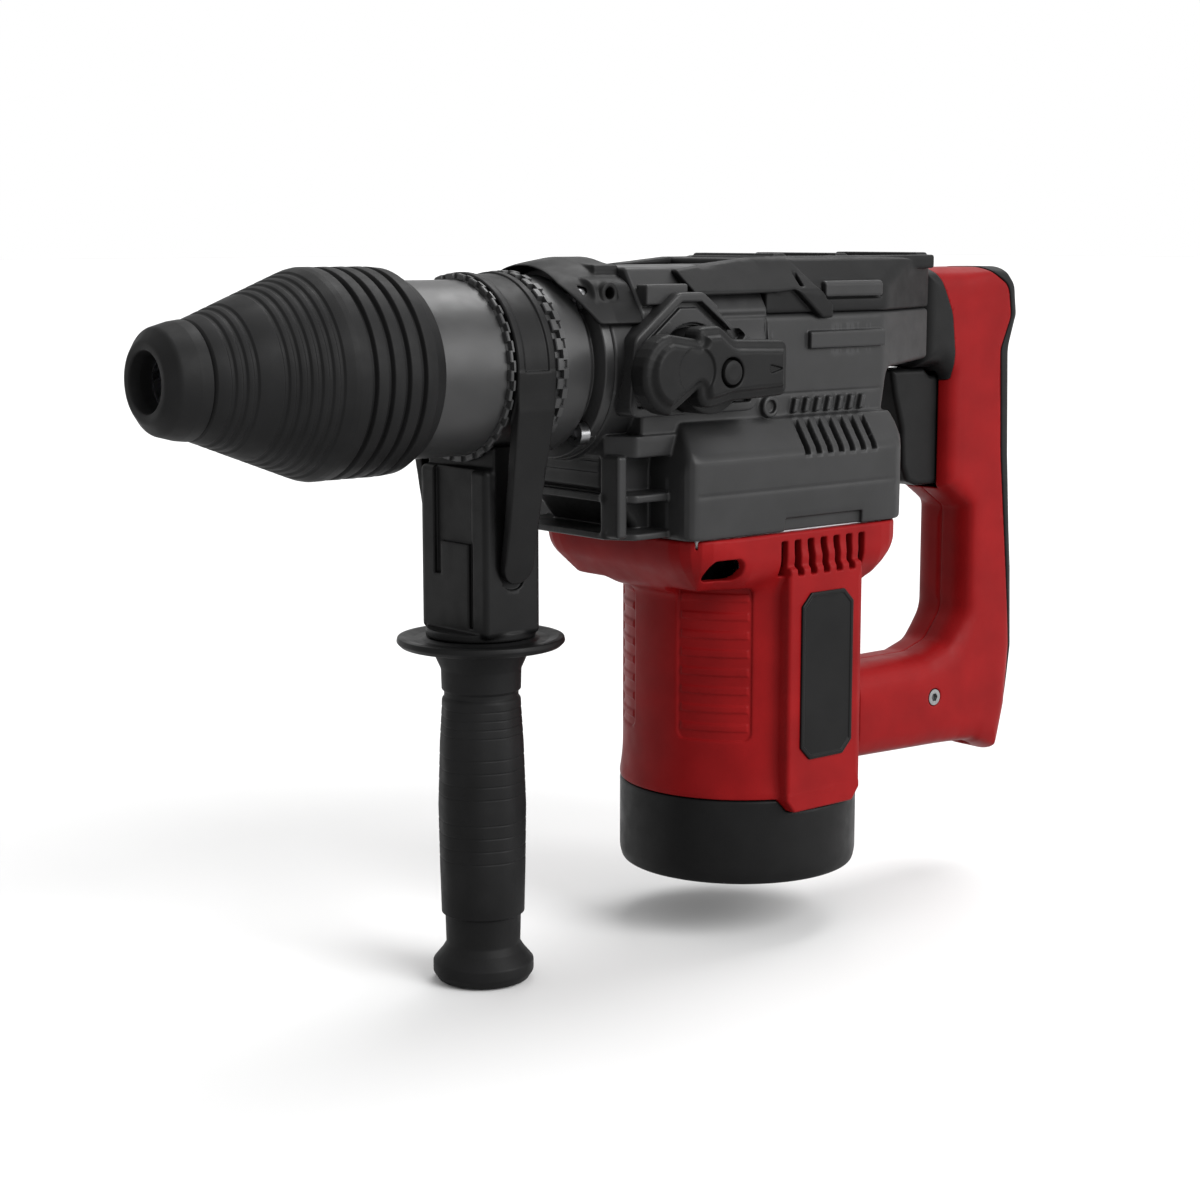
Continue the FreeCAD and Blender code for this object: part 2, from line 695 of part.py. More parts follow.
def make_gear_plates():
    """The flange between motor and gears, and the bridge that carries the upper bearings."""
    gap = D["shell_wall"] + 1.2
    front = D["belly_front"] + gap + 2
    rear = D["belly_rear"] - gap
    half = D["belly_half_width"] - gap
    seat = 0.03
    crank = (D["crank_x"], 0)
    pinion = (D["pinion_x"], 0)
    holes = {
        "bearing_plate": (134, 142, (((0, 0), 11), (crank, 8), (pinion, 8))),
        "bearing_bridge": (158, 166, (((0, 0), 7), (crank, 13), (pinion, 11))),
    }
    for name, (low, high, seats) in holes.items():
        body = new_body(name)
        slab(body, "Pad", "XY", rectangle(front, rear, -half, half), low, high)
        soften(body, "Fillet", 12, lambda edge: runs_along(edge, "z"))
        for centre, radius in seats:
            discs(body, "Pocket", "XY", [centre], radius + seat, low - 1, high + 1)


def make_motor_housing():
    """The red motor tube with its bell under the gear housing and its two raised side panels."""
    body = new_body("motor_housing")
    seam = D["seam_height"]
    base = D["cap_height"]
    radius = D["motor_radius"]
    wall = D["shell_wall"]
    front = D["belly_front"] + 3
    rear = D["belly_rear"] - 1
    half = D["belly_half_width"] - 1
    bell = rectangle(front, rear, -half, half)
    slab(body, "Pad", "XY", bell, seam - 24, seam)
    soften(body, "Fillet", 15, lambda edge: runs_along(edge, "z"))
    bottom = (seam - 24).value
    soften(body, "Chamfer", 9, lambda edge: abs(edge.BoundBox.ZMax - bottom) < 0.01)
    discs(body, "Pad", "XY", [(0, 0)], radius, base, seam - 20)
    panel = rectangle(-20, 20, -radius - 2, radius + 2)
    slab(body, "Pad", "XY", panel, base, seam - 20)
    for side in (-1, 1):
        tongue = rectangle(-18, 18, side * (radius - 4), side * (radius + 2))
        slab(body, "Pad", "XY", tongue, base - 5, base + 1)
    inner = rectangle(front + wall, rear - wall, wall - half, half - wall)
    slab(body, "Pocket", "XY", inner, seam - 13, seam + 1)
    throat = rectangle(front + 12, rear - 5, 5 - half, half - 5)
    slab(body, "Pocket", "XY", throat, seam - 20, seam - 12)
    slab(body, "Pocket", "XZ", rectangle(front - 1, -72.5, seam - 5, seam + 1), -19, 19)
    discs(body, "Pocket", "XY", [(0, 0)], D["motor_bore"], base - 6, seam - 19)
    screw_feet = [(x, y) for x in (-28, 28) for y in (-28, 28)]
    discs(body, "Pad", "XY", screw_feet, 5.5, base, base + 9)
    discs(body, "Pocket", "XY", screw_feet, 2.1, base - 1, base + 8)
    for k in range(7):
        x = -21 + 7 * k
        slab(body, "Pocket", "XZ", rectangle(x - 1.6, x + 1.6, 121, 134), -half - 1, 6 - half)


def make_motor_cap():
    """The black cap that closes the motor and that the tool stands on."""
    body = new_body("motor_end_cap")
    radius = D["cap_radius"]
    height = D["cap_height"]
    lathe(body, "Z", [
        (0, 0), (0, radius - 4), (1.2, radius - 1.2), (4, radius), (height - 0.2, radius),
        (height - 0.2, radius - 3.5), (4, radius - 3.5), (4, 14.5), (14, 14.5), (14, 11.03),
        (6, 11.03), (6, 0)])
    feet = [(x, y) for x in (-28, 28) for y in (-28, 28)]
    discs(body, "Pad", "XY", feet, 5.5, 3, height - 0.2)
    discs(body, "Pocket", "XY", feet, 2.6, -1, height + 1)
    discs(body, "Pocket", "XY", feet, 4.4, -1, 6)
    for side in (-1, 1):
        notch = rectangle(-18.2, 18.2, side * (radius - 5.3), side * (radius + 1))
        slab(body, "Pocket", "XY", notch, height - 5.2, height + 1)
    screw = socket_screw(4, 4, 2, 34)
    places = [facing((0, 0, -1), (x, y, 6)) for x, y in feet]
    solid_node("end_cap_screws", copies(screw, places))


def make_motor():
    """Stator, armature, commutator, brushes and fan."""
    stator = new_body("stator_core")
    bore = D["core_radius"] + 0.5
    outer = D["motor_bore"] - 0.2
    lathe(stator, "Z", [(48, bore), (48, outer), (104, outer), (104, bore)])
    for side in (-1, 1):
        window = [(-10, side * 25), (10, side * 25), (16, side * 37), (-16, side * 37)]
        slab(stator, "Pocket", "XY", window, 47, 105)
    coils = []
    for side in (-1, 1):
        block = Part.makeBox(24, 9, 63, VECTOR(-12, side * 30.5 - 4.5, 43))
        coils.append(block.makeFillet(3, [e for e in block.Edges if not runs_along(e, "y")]))
    solids = []
    for side, coil in zip((-1, 1), coils):
        stator_window = Part.makeBox(20, 9, 200, VECTOR(-10, side * 30.5 - 4.5, 0))
        solids += coil.common(stator_window).Solids
    solid_node("field_coils", Part.makeCompound(solids))
    shaft = new_body("armature_shaft")
    radius = D["shaft_radius"]
    lathe(shaft, "Z", [(6.3, 0), (6.3, radius), (142.5, radius), (142.5, 2), (154, 2),
                       (154, 0)])
    solid_node("armature_pinion", spur_gear(10, 0.8, 1.0, 10, 2.02, low=143.5))
    core = ring("armature_core", "Z", 49, 103, radius + 0.01, D["core_radius"])
    slots = 12
    for k in range(slots):
        angle = 2 * math.pi * k / slots
        slot_centre = (21 * math.cos(angle), 21 * math.sin(angle))
        discs(core, "Pocket", "XY", [slot_centre], 1.6, 48, 104)
    ring("commutator", "Z", 18, 36, radius + 0.01, 15)
    fan = ring("fan", "Z", 108, 110.5, radius + 0.01, 34)
    slab(fan, "Pad", "XY", rectangle(12, 33, -0.8, 0.8), 110, 122)
    blade = fan.Tip
    blades = fan.newObject("PartDesign::PolarPattern", "Blades")
    blades.Originals = [blade]
    blades.Axis = ([f for f in fan.Origin.OriginFeatures if f.Role == "Z_Axis"][0], [""])
    blades.Angle = 360
    blades.Occurrences = 11
    fan.Tip = blades
    discs(fan, "Pad", "XY", [(0, 0)], 9, 110, 116)
    discs(fan, "Pocket", "XY", [(0, 0)], radius + 0.01, 107, 117)
    make_brushes()


def make_brushes():
    """Two carbon brushes on the commutator, each in its brass holder."""
    carbon = []
    holders = []
    for side in (-1, 1):
        near = 15.3
        brush = Part.makeBox(18, 6, 9, VECTOR(near, -3, 22.5))
        holder = Part.makeBox(24, 10, 13, VECTOR(18, -5, 20.5))
        holder = holder.cut(Part.makeBox(30, 6.2, 9.2, VECTOR(10, -3.1, 22.4)))
        for shapes, shape in ((carbon, brush), (holders, holder)):
            if side < 0:
                shape.rotate(VECTOR(0, 0, 0), VECTOR(0, 0, 1), 180)
            shapes.append(shape)
    solid_node("carbon_brushes", Part.makeCompound(carbon))
    solid_node("brush_holders", Part.makeCompound(holders))


def make_name_plates():
    """A blank plate on each side panel of the motor housing."""
    plates = []
    face = D["motor_radius"].value + 2.05
    for side in (-1, 1):
        outline = [(-14, 54), (-9, 49), (9, 49), (14, 54), (14, 109), (9, 114), (-9, 114),
                   (-14, 109)]
        corners = [VECTOR(x, side * face, z) for x, z in outline]
        plate = Part.Face(Part.makePolygon(corners + corners[:1]))
        plates.append(plate.extrude(VECTOR(0, side * 0.8, 0)))
    solid_node("name_plates", Part.makeCompound(plates))


# --- rear handle -------------------------------------------------------------------------------

# Each handle screw's x and z, and the side that its head is on.
HANDLE_SCREWS = ((100, 54, -1), (84, 54, 1), (146, 62, 1), (104, 215, 1))
BACK_LINE = [(149, 229), (150, 214), (143, 200), (145, 155), (150, 105), (152.5, 70), (150, 44)]
BACK_EDGE = [(154, 229), (155.5, 214), (149.5, 200), (151.5, 155), (155.5, 105), (156, 70),
             (152, 44)]


def handle_outline():
    """The D handle's outline without its soft back, from the top front corner round."""
    front = D["handle_front"]
    return [
        (front, 194), (front, 235), (139, 235)] + BACK_LINE + [
        (145, 23), (128, 30), (108, 31), (40, 33), (40, 72), (100, 72), (111, 76), (121, 88),
        (121, 133), (106, 143), (106, 190), (101, 194)]


def make_handle_shells():
    half = D["handle_half_width"]
    room = [
        (94, 199), (94, 231), (136, 231), (145, 222), (139, 200), (141, 155), (146, 105),
        (148, 72), (145, 48), (140, 38), (62, 41), (62, 67), (103, 68), (114, 73), (125, 84),
        (125, 136), (123, 140), (123, 192), (118, 199)]
    for name, side in (("handle_shell_left", -1), ("handle_shell_right", 1)):
        body = new_body(name)
        low, high = sorted((0, side), key=float)
        slab(body, "Pad", "XZ", handle_outline(), half * low, half * high)
        outer_y = half.value * side
        soften(body, "Chamfer", 3.5, lambda edge: on_outer_rim(edge, outer_y))
        inner = half - 3
        slab(body, "Pocket", "XZ", room, inner * low - (1 if side > 0 else 0),
             inner * high + (1 if side < 0 else 0))
        trigger_slot = rectangle(104, 124, 142.5, 192)
        slab(body, "Pocket", "XZ", trigger_slot, -8.6, 8.6)
        discs(body, "Pocket", "XY", [(0, 0)], D["cap_radius"] + 0.3, 30, 80)
        discs(body, "Pocket", "XY", [(131, 0)], 8.02, 20, 42)
        discs(body, "Pocket", "XZ", [(x, z) for x, z, _ in HANDLE_SCREWS], 1.7, -half, half)
        heads = [(x, z) for x, z, screw_side in HANDLE_SCREWS if screw_side == side]
        low, high = sorted((side * (half.value - 3.1), side * (half.value + 1)))
        discs(body, "Pocket", "XZ", heads, 3.7, low, high)


def on_points(edge, points):
    """Whether both ends of an edge lie on listed (x, z) corners."""
    ends = [vertex.Point for vertex in edge.Vertexes]
    return all(any(abs(p.x - x) < 0.05 and abs(p.z - z) < 0.05 for x, z in points) for p in ends)


def on_outer_rim(edge, outer_y):
    """Whether an edge rounds the grip's side face, away from the soft back and the joints."""
    box = edge.BoundBox
    flat = abs(box.YMin - outer_y) < 0.01 and abs(box.YMax - outer_y) < 0.01
    joint = box.XMax < 91 and box.XMin > 89
    return flat and box.XMin > 39 and not joint and box.XMax > 41 and not on_points(edge, BACK_LINE)


def make_handle_back():
    """The soft black strip along the handle's back and over its top corner."""
    body = new_body("handle_overmould")
    half = D["handle_half_width"]
    lip = [(150, 43)]
    line = BACK_LINE[:-1] + lip
    points = [(139.1, 235)] + [(x + 0.1, z) for x, z in line] + list(reversed(BACK_EDGE))
    points.append((147, 235))
    slab(body, "Pad", "XZ", points, -half, half)
    soften(body, "Chamfer", 3, lambda edge: rear_rim(edge, half.value))


def rear_rim(edge, half):
    """Whether an edge lies on a side face and on the back's outer line."""
    box = edge.BoundBox
    on_side = abs(abs(box.YMin) - half) < 0.01 and abs(box.YMax - box.YMin) < 0.01
    return on_side and on_points(edge, BACK_EDGE)


def make_trigger():
    """The rocker trigger, its switch and the cable inlet."""
    trigger = new_body("trigger")
    outline = [
        (79, 193.2), (79, 190), (81.5, 182), (86, 168), (87, 152), (90, 146), (96, 144), (112, 144),
        (114, 152), (114, 190), (103, 190), (99, 193.2)]
    slab(trigger, "Pad", "XZ", outline, -8, 8)
    switch = new_body("trigger_switch")
    slab(switch, "Pad", "XZ", rectangle(124, 138, 150, 192), -9, 9)
    slab(switch, "Pad", "XZ", rectangle(121.5, 124.5, 158, 168), -4, 4)
    gland = new_body("cable_gland", x=131)
    lathe(gland, "Z", [(31, 4.5), (31, 8), (37, 8), (41, 6.5), (41, 4.5)])


def make_handle_screws():
    """Screws that join the two handle shells: one from the knob side, three from the other."""
    screw = socket_screw(3.4, 2.6, 1.6, 20)
    seat = D["handle_half_width"].value - 3
    places = [facing((0, side, 0), (x, side * seat, z)) for x, z, side in HANDLE_SCREWS]
    solid_node("handle_screws", copies(screw, places))


# --- side handle and mode knob -----------------------------------------------------------------

def make_clamp():
    """The band round the barrel, the block under it and the bolt that draws them together."""
    low = D["clamp_x"] - 8.5
    high = D["clamp_x"] + 8.5
    centre = [(0, AXIS)]
    grip = D["barrel_radius"] + 0.35
    outer = D["band_radius"]
    cheek = D["clamp_half_width"]
    band = new_body("clamp_band")
    discs(band, "Pad", "YZ", centre, outer, low, high)
    for side in (-1, 1):
        strap = [(side * 25, AXIS), (side * outer, AXIS), (side * (outer - 0.5), AXIS - 14),
                 (side * (cheek + 3.5), 132), (side * (cheek + 1.3), 126),
                 (side * (cheek + 0.1), 126), (side * (cheek + 0.1), 134), (side * 29, AXIS - 14)]
        slab(band, "Pad", "YZ", strap, low, high)
    discs(band, "Pocket", "YZ", centre, grip, low - 1, high + 1)
    inside = cheek + 0.05
    gap = [(-inside, 120), (inside, 120), (inside, 134), (28.9, 188), (-28.9, 188),
           (-inside, 134)]
    slab(band, "Pocket", "YZ", gap, low - 1, high + 1)
    block = new_body("clamp_block")
    side_x = 12.5
    slab(block, "Pad", "XY",
         rectangle(D["clamp_x"] - side_x, D["clamp_x"] + side_x, -cheek, cheek), 107, 167)
    soften(block, "Fillet", 3, lambda edge: runs_along(edge, "z"))
    slab(block, "Pad", "XY", rectangle(low, high, -cheek, cheek), 166, 175)
    discs(block, "Pad", "XY", [(D["clamp_x"], 0)], 20, 105.3, 108)
    discs(block, "Pocket", "YZ", centre, grip, D["clamp_x"] - 20, D["clamp_x"] + 20)
    discs(block, "Pocket", "XY", [(D["clamp_x"], 0)], 4.02, 100, 160)
    discs(block, "Pocket", "XY", [(D["clamp_x"], 0)], 8, 150, 180)
    bolt = new_body("clamp_bolt", x=D["clamp_x"])
    lathe(bolt, "Z", [(55, 0), (55, 4), (150.1, 4), (150.1, 7.5), (157, 7.5), (157, 0)])


def make_side_grip():
    """The turned grip and its guard flange."""
    grip = new_body("side_grip", x=D["clamp_x"])
    low = D["grip_bottom"]
    r = D["grip_radius"]
    bore = 4 + D["running_gap"]
    lathe(grip, "Z", [
        (low, 0), (low, r - 1.5), (low + 2, r + 1), (low + 5, r + 1.8), (low + 9, r + 1.4),
        (low + 12, r - 1.8), (low + 25, r - 2.2), (low + 26, r - 1), (low + 40, r - 0.5),
        (low + 66, r), (low + 90, r - 0.8), (low + 108, r - 2), (low + 112, r - 2.4),
        (low + 119, r - 1), (low + 124, r + 2), (102, r + 4), (102, bore), (50, bore), (50, 0)])
    flange = new_body("grip_flange", x=D["clamp_x"])
    rim = D["flange_radius"]
    lathe(flange, "Z", [
        (102, bore), (102, r + 4.5), (101, rim - 4), (102.2, rim - 0.8), (103.6, rim),
        (104.6, rim - 0.8), (104.4, rim - 5), (105, r + 5), (105, bore)])


def stadium_points(x0, x1, z, half, steps=8):
    """A bar with round ends, as a polygon in (x, z)."""
    points = []
    for end, start in ((x1 - half, -90), (x0 + half, 90)):
        for k in range(steps + 1):
            angle = math.radians(start + 180 * k / steps)
            points.append((end + half * math.cos(angle), z + half * math.sin(angle)))
    return points


def make_mode_knob():
    x = D["knob_x"]
    z = D["knob_z"]
    face = D["knob_face"]
    half = D["body_half_width"]
    bezel = new_body("knob_bezel")
    shield = [(-94, 186), (-30, 186), (-33, 210), (-58, 228), (-70, 228), (-91, 212)]
    slab(bezel, "Pad", "XZ", shield, -half - 5.5, -half)
    discs(bezel, "Pocket", "XZ", [(x, z)], 17, -half - 7, -half + 1)
    knob = new_body("mode_knob", x=x, z=z)
    discs(knob, "Pad", "XZ", [(0, 0)], 15.5, face + 10.9, -half - 0.3)
    slab(knob, "Pad", "XZ", stadium_points(-40, 30, 0, 14), face, face + 11)
    soften(knob, "Fillet", 2.5, lambda edge: abs(edge.BoundBox.YMax - face.value) < 0.01)
    discs(knob, "Pocket", "XZ", [(0, 0)], 4.8, face - 1, face + 10)
    shaft = new_body("selector_shaft", x=x, z=z)
    lathe(shaft, "Y", [(-half - 0.3, 0), (-half - 0.3, 6), (-27, 6), (-27, 0)])
    discs(shaft, "Pad", "XZ", [(0, 3.5)], 2, -27.5, -25)
    button = new_body("knob_button", x=x, z=z)
    lathe(button, "Y", [(face - 0.6, 0), (face - 0.6, 3.8), (face + 0.2, 4.5), (face + 7, 4.5),
                        (face + 7, 0)])


# --- assembly ----------------------------------------------------------------------------------

def make_everything():
    make_tool_holder()
    make_chuck()
    make_hammer_cylinder()
    make_strikers()
    make_connecting_rod()
    make_gear_train()
    make_bearings()
    make_barrel_housing()
    make_gear_housing()
    make_top_cover()
    make_gear_plates()
    make_motor_housing()
    make_motor_cap()
    make_motor()
    make_name_plates()
    make_handle_shells()
    make_handle_back()
    make_trigger()
    make_handle_screws()
    make_clamp()
    make_side_grip()
    make_mode_knob()


def check_document():
    """Stop if any object failed or any sub-part is empty or broken."""
    DOC.recompute()
    faults = []
    for thing in DOC.Objects:
        if "Invalid" in thing.State or "Error" in thing.State:
            faults.append(f"{thing.Name}: {thing.State}")
    for node in NODES:
        if node.Shape.isNull() or not node.Shape.isValid() or not node.Shape.Solids:
            faults.append(f"{node.Label}: bad shape")
    if faults:
        raise SystemExit("\n".join(faults))


def write_parts():
    os.makedirs("parts", exist_ok=True)
    for old in os.listdir("parts"):
        if old.endswith(".step"):
            os.remove(os.path.join("parts", old))
    for node in NODES:
        node.Shape.exportStep(f"parts/{node.Label}.step")
        box = node.Shape.BoundBox
        print(f"{node.Label:22s} solids {len(node.Shape.Solids):3d}  volume "
              f"{node.Shape.Volume / 1000:8.2f} cm3  x {box.XMin:7.1f} {box.XMax:7.1f}  "
              f"y {box.YMin:6.1f} {box.YMax:6.1f}  z {box.ZMin:6.1f} {box.ZMax:6.1f}")


make_everything()
check_document()
write_parts()
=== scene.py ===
import math

import bmesh
import bpy
import numpy as np
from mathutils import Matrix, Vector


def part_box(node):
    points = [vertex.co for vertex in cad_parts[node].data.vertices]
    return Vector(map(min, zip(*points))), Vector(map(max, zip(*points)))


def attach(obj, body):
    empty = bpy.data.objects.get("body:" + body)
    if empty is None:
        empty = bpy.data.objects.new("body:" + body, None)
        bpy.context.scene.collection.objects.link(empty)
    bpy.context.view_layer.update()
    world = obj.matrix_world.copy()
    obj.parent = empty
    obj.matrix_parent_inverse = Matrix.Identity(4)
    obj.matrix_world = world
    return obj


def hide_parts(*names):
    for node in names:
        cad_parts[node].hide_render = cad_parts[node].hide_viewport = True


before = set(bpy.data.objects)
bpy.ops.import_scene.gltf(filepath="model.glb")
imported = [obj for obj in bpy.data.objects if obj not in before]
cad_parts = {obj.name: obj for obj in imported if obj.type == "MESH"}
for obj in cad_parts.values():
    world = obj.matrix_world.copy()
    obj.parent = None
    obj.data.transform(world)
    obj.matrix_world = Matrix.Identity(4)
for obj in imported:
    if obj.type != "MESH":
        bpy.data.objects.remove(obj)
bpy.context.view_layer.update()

import openvdb
from mathutils import Vector

# Looks of the rotary hammer. Lengths are millimetres in the frame's own axes until a mesh is made:
# -X is the nose, +Z is up the motor's axis, and the mode knob is on the -Y side. Outline points are
# (along, across), and a third number is the radius of that corner.

MM = 0.001
# A plane's two axes and the axis across it.
PLANES = {"x": ("y", "z", "x"), "y": ("x", "z", "y"), "z": ("x", "y", "z"), "s": ("x", "z", "s")}


def node_box(node):
    """A CAD node's lowest and highest corners, in millimetres."""
    low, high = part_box(node)
    return [c / MM for c in low], [c / MM for c in high]


AXIS_Z = sum(corner[2] for corner in node_box("tool_holder")) / 2
FLOOR_Z = node_box("side_grip")[0][2]
FLOOR_SHADE = 0.52
SCREW_HEAD = 3.7
VENTS = range(7)


# --- materials ---------------------------------------------------------------------------------

def link(tree, a, output, b, socket):
    tree.links.new(a.outputs[output], b.inputs[socket])


def noise_node(tree, scale, detail, stretch=(1, 1, 1)):
    """Noise over the object's own metres, so that it keeps its real size."""
    place = tree.nodes.new("ShaderNodeTexCoord")
    squeeze = tree.nodes.new("ShaderNodeMapping")
    squeeze.inputs["Scale"].default_value = stretch
    noise = tree.nodes.new("ShaderNodeTexNoise")
    noise.inputs["Scale"].default_value = scale
    noise.inputs["Detail"].default_value = detail
    link(tree, place, "Object", squeeze, "Vector")
    link(tree, squeeze, "Vector", noise, "Vector")
    return noise


def ramp_between(tree, source, low, high, start=0.3, end=0.7):
    """A colour ramp driven by a noise: low below start, high above end."""
    ramp = tree.nodes.new("ShaderNodeValToRGB")
    ramp.color_ramp.elements[0].position = start
    ramp.color_ramp.elements[0].color = (*low, 1)
    ramp.color_ramp.elements[1].position = end
    ramp.color_ramp.elements[1].color = (*high, 1)
    link(tree, source, "Fac", ramp, "Fac")
    return ramp


def finish(name, dark, light, rough, grain, depth, metallic=0.0, stretch=(1, 1, 1), specular=0.5,
           worn=None):
    """A material with mottled colour, uneven gloss and a fine grain.

    rough is the range of roughness, grain is the grain's size in millimetres and depth its
    height. worn is the colour that shows along sharp edges.
    """
    material = bpy.data.materials.new(name)
    material.use_nodes = True
    tree = material.node_tree
    shader = tree.nodes["Principled BSDF"]
    shader.inputs["Metallic"].default_value = metallic
    shader.inputs["Specular IOR Level"].default_value = specular
    patches = noise_node(tree, 55, 4, stretch)
    colour = ramp_between(tree, patches, dark, light)
    if worn is None:
        link(tree, colour, "Color", shader, "Base Color")
    else:
        edges = tree.nodes.new("ShaderNodeNewGeometry")
        sharp = worn_edges(tree, edges, patches)
        blend = tree.nodes.new("ShaderNodeMix")
        blend.data_type = "RGBA"
        tree.links.new(sharp.outputs[0], blend.inputs[0])
        tree.links.new(colour.outputs["Color"], blend.inputs[6])
        blend.inputs[7].default_value = (*worn, 1)
        tree.links.new(blend.outputs[2], shader.inputs["Base Color"])
    smears = noise_node(tree, 140, 6, stretch)
    gloss = tree.nodes.new("ShaderNodeMapRange")
    gloss.inputs["From Min"].default_value = 0.3
    gloss.inputs["From Max"].default_value = 0.7
    gloss.inputs["To Min"].default_value = rough[0]
    gloss.inputs["To Max"].default_value = rough[1]
    link(tree, smears, "Fac", gloss, "Value")
    link(tree, gloss, "Result", shader, "Roughness")
    fine = noise_node(tree, 1000 / grain, 2, stretch)
    bump = tree.nodes.new("ShaderNodeBump")
    bump.inputs["Strength"].default_value = 1.0
    bump.inputs["Distance"].default_value = depth * MM
    link(tree, fine, "Fac", bump, "Height")
    link(tree, bump, "Normal", shader, "Normal")
    return material


def worn_edges(tree, geometry, patches):
    """How worn an edge is: pointed places, broken up by the mottling."""
    pointed = tree.nodes.new("ShaderNodeMapRange")
    pointed.inputs["From Min"].default_value = 0.52
    pointed.inputs["From Max"].default_value = 0.62
    link(tree, geometry, "Pointiness", pointed, "Value")
    broken = tree.nodes.new("ShaderNodeMath")
    broken.operation = "MULTIPLY"
    broken.use_clamp = True
    link(tree, pointed, "Result", broken, 0)
    link(tree, patches, "Fac", broken, 1)
    return broken


LOOKS = {
    "grey_casting": finish(
        "grey_casting", (0.0085, 0.0085, 0.0087), (0.0125, 0.0125, 0.0128), (0.38, 0.50), 0.55, 0.02,
        specular=0.2, worn=(0.03, 0.03, 0.031)),
    "barrel_paint": finish(
        "barrel_paint", (0.015, 0.015, 0.0153), (0.020, 0.020, 0.0203), (0.34, 0.44), 0.4, 0.012,
        specular=0.26, worn=(0.04, 0.04, 0.041)),
    "black_plastic": finish(
        "black_plastic", (0.0028, 0.0028, 0.0029), (0.0046, 0.0046, 0.0047), (0.40, 0.54), 0.5, 0.03,
        specular=0.1),
    "red_plastic": finish(
        "red_plastic", (0.120, 0.0024, 0.0030), (0.155, 0.0036, 0.0042), (0.40, 0.52), 0.5, 0.022,
        specular=0.06),
    "black_rubber": finish(
        "black_rubber", (0.0040, 0.0040, 0.0041), (0.0065, 0.0065, 0.0067), (0.48, 0.62), 0.35, 0.03,
        specular=0.09),
    "zinc_screw": finish(
        "zinc_screw", (0.16, 0.16, 0.165), (0.26, 0.26, 0.265), (0.28, 0.42), 0.3, 0.006, 1.0),
    "aluminium": finish(
        "aluminium", (0.56, 0.56, 0.58), (0.66, 0.66, 0.68), (0.28, 0.4), 0.3, 0.006, 1.0),
    "hard_steel": finish(
        "hard_steel", (0.36, 0.36, 0.38), (0.47, 0.47, 0.49), (0.2, 0.34), 0.25, 0.005, 1.0),
    "spring_steel": finish(
        "spring_steel", (0.44, 0.44, 0.46), (0.55, 0.55, 0.57), (0.24, 0.34), 0.25, 0.004, 1.0),
    "bearing_steel": finish(
        "bearing_steel", (0.66, 0.66, 0.68), (0.76, 0.76, 0.78), (0.1, 0.18), 0.3, 0.002, 1.0),
    "core_steel": finish(
        "core_steel", (0.25, 0.25, 0.265), (0.34, 0.34, 0.36), (0.36, 0.5), 0.5, 0.03, 1.0,
        stretch=(0.05, 0.05, 1)),
    "copper": finish(
        "copper", (0.6, 0.27, 0.14), (0.75, 0.38, 0.22), (0.24, 0.36), 0.4, 0.02, 1.0),
    "brass": finish(
        "brass", (0.68, 0.52, 0.22), (0.8, 0.64, 0.3), (0.26, 0.38), 0.3, 0.006, 1.0),
    "carbon": finish(
        "carbon", (0.035, 0.035, 0.037), (0.06, 0.06, 0.064), (0.55, 0.7), 0.3, 0.02),
    "plate_black": finish(
        "plate_black", (0.002, 0.002, 0.0021), (0.0035, 0.0035, 0.0036), (0.34, 0.44), 1.2, 0.008,
        specular=0.1),
    # dark_inside is painted shade: a near-black, very rough colour for inner surfaces, standing in for the
    # shade inside the tool.
    "dark_inside": finish(
        "dark_inside", (0.004, 0.004, 0.004), (0.007, 0.007, 0.007), (0.7, 0.85), 0.6, 0.03),
}


# --- meshes ------------------------------------------------------------------------------------

def add_piece(name, mesh, body, slot, nodes=(), look=None):
    """Puts a finished mesh in the scene, with its look, its body and the CAD it stands for."""
    piece = bpy.data.objects.new(name, mesh)
    bpy.context.collection.objects.link(piece)
    mesh.materials.append(LOOKS[look or slot])
    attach(piece, body)
    if nodes:
        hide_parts(*nodes)
    return piece


def arc_points(centre, radius, start, end, steps=8):
    """Points on an arc, from angle start to end in degrees."""
    angles = [math.radians(start + (end - start) * k / steps) for k in range(steps + 1)]
    return [(centre[0] + radius * math.cos(a), centre[1] + radius * math.sin(a)) for a in angles]


def rounded(points, radius, steps=5):
    """A closed outline with its corners rounded; a third number in a point is its own radius."""
    made = []
    count = len(points)
    for i, point in enumerate(points):
        own = point[2] if len(point) > 2 else radius
        here = np.array(point[:2], float)
        before = np.array(points[i - 1][:2], float) - here
        after = np.array(points[(i + 1) % count][:2], float) - here
        long_before, long_after = np.linalg.norm(before), np.linalg.norm(after)
        before, after = before / long_before, after / long_after
        half = math.acos(float(np.clip(before @ after, -1, 1))) / 2
        reach = min(own / max(math.tan(half), 1e-6), 0.48 * long_before, 0.48 * long_after)
        if own <= 0 or half > 1.55:
            made.append(tuple(here))
            continue
        start, end = here + before * reach, here + after * reach
        for k in range(steps + 1):
            t = k / steps
            made.append(tuple((1 - t) ** 2 * start + 2 * t * (1 - t) * here + t * t * end))
    return made


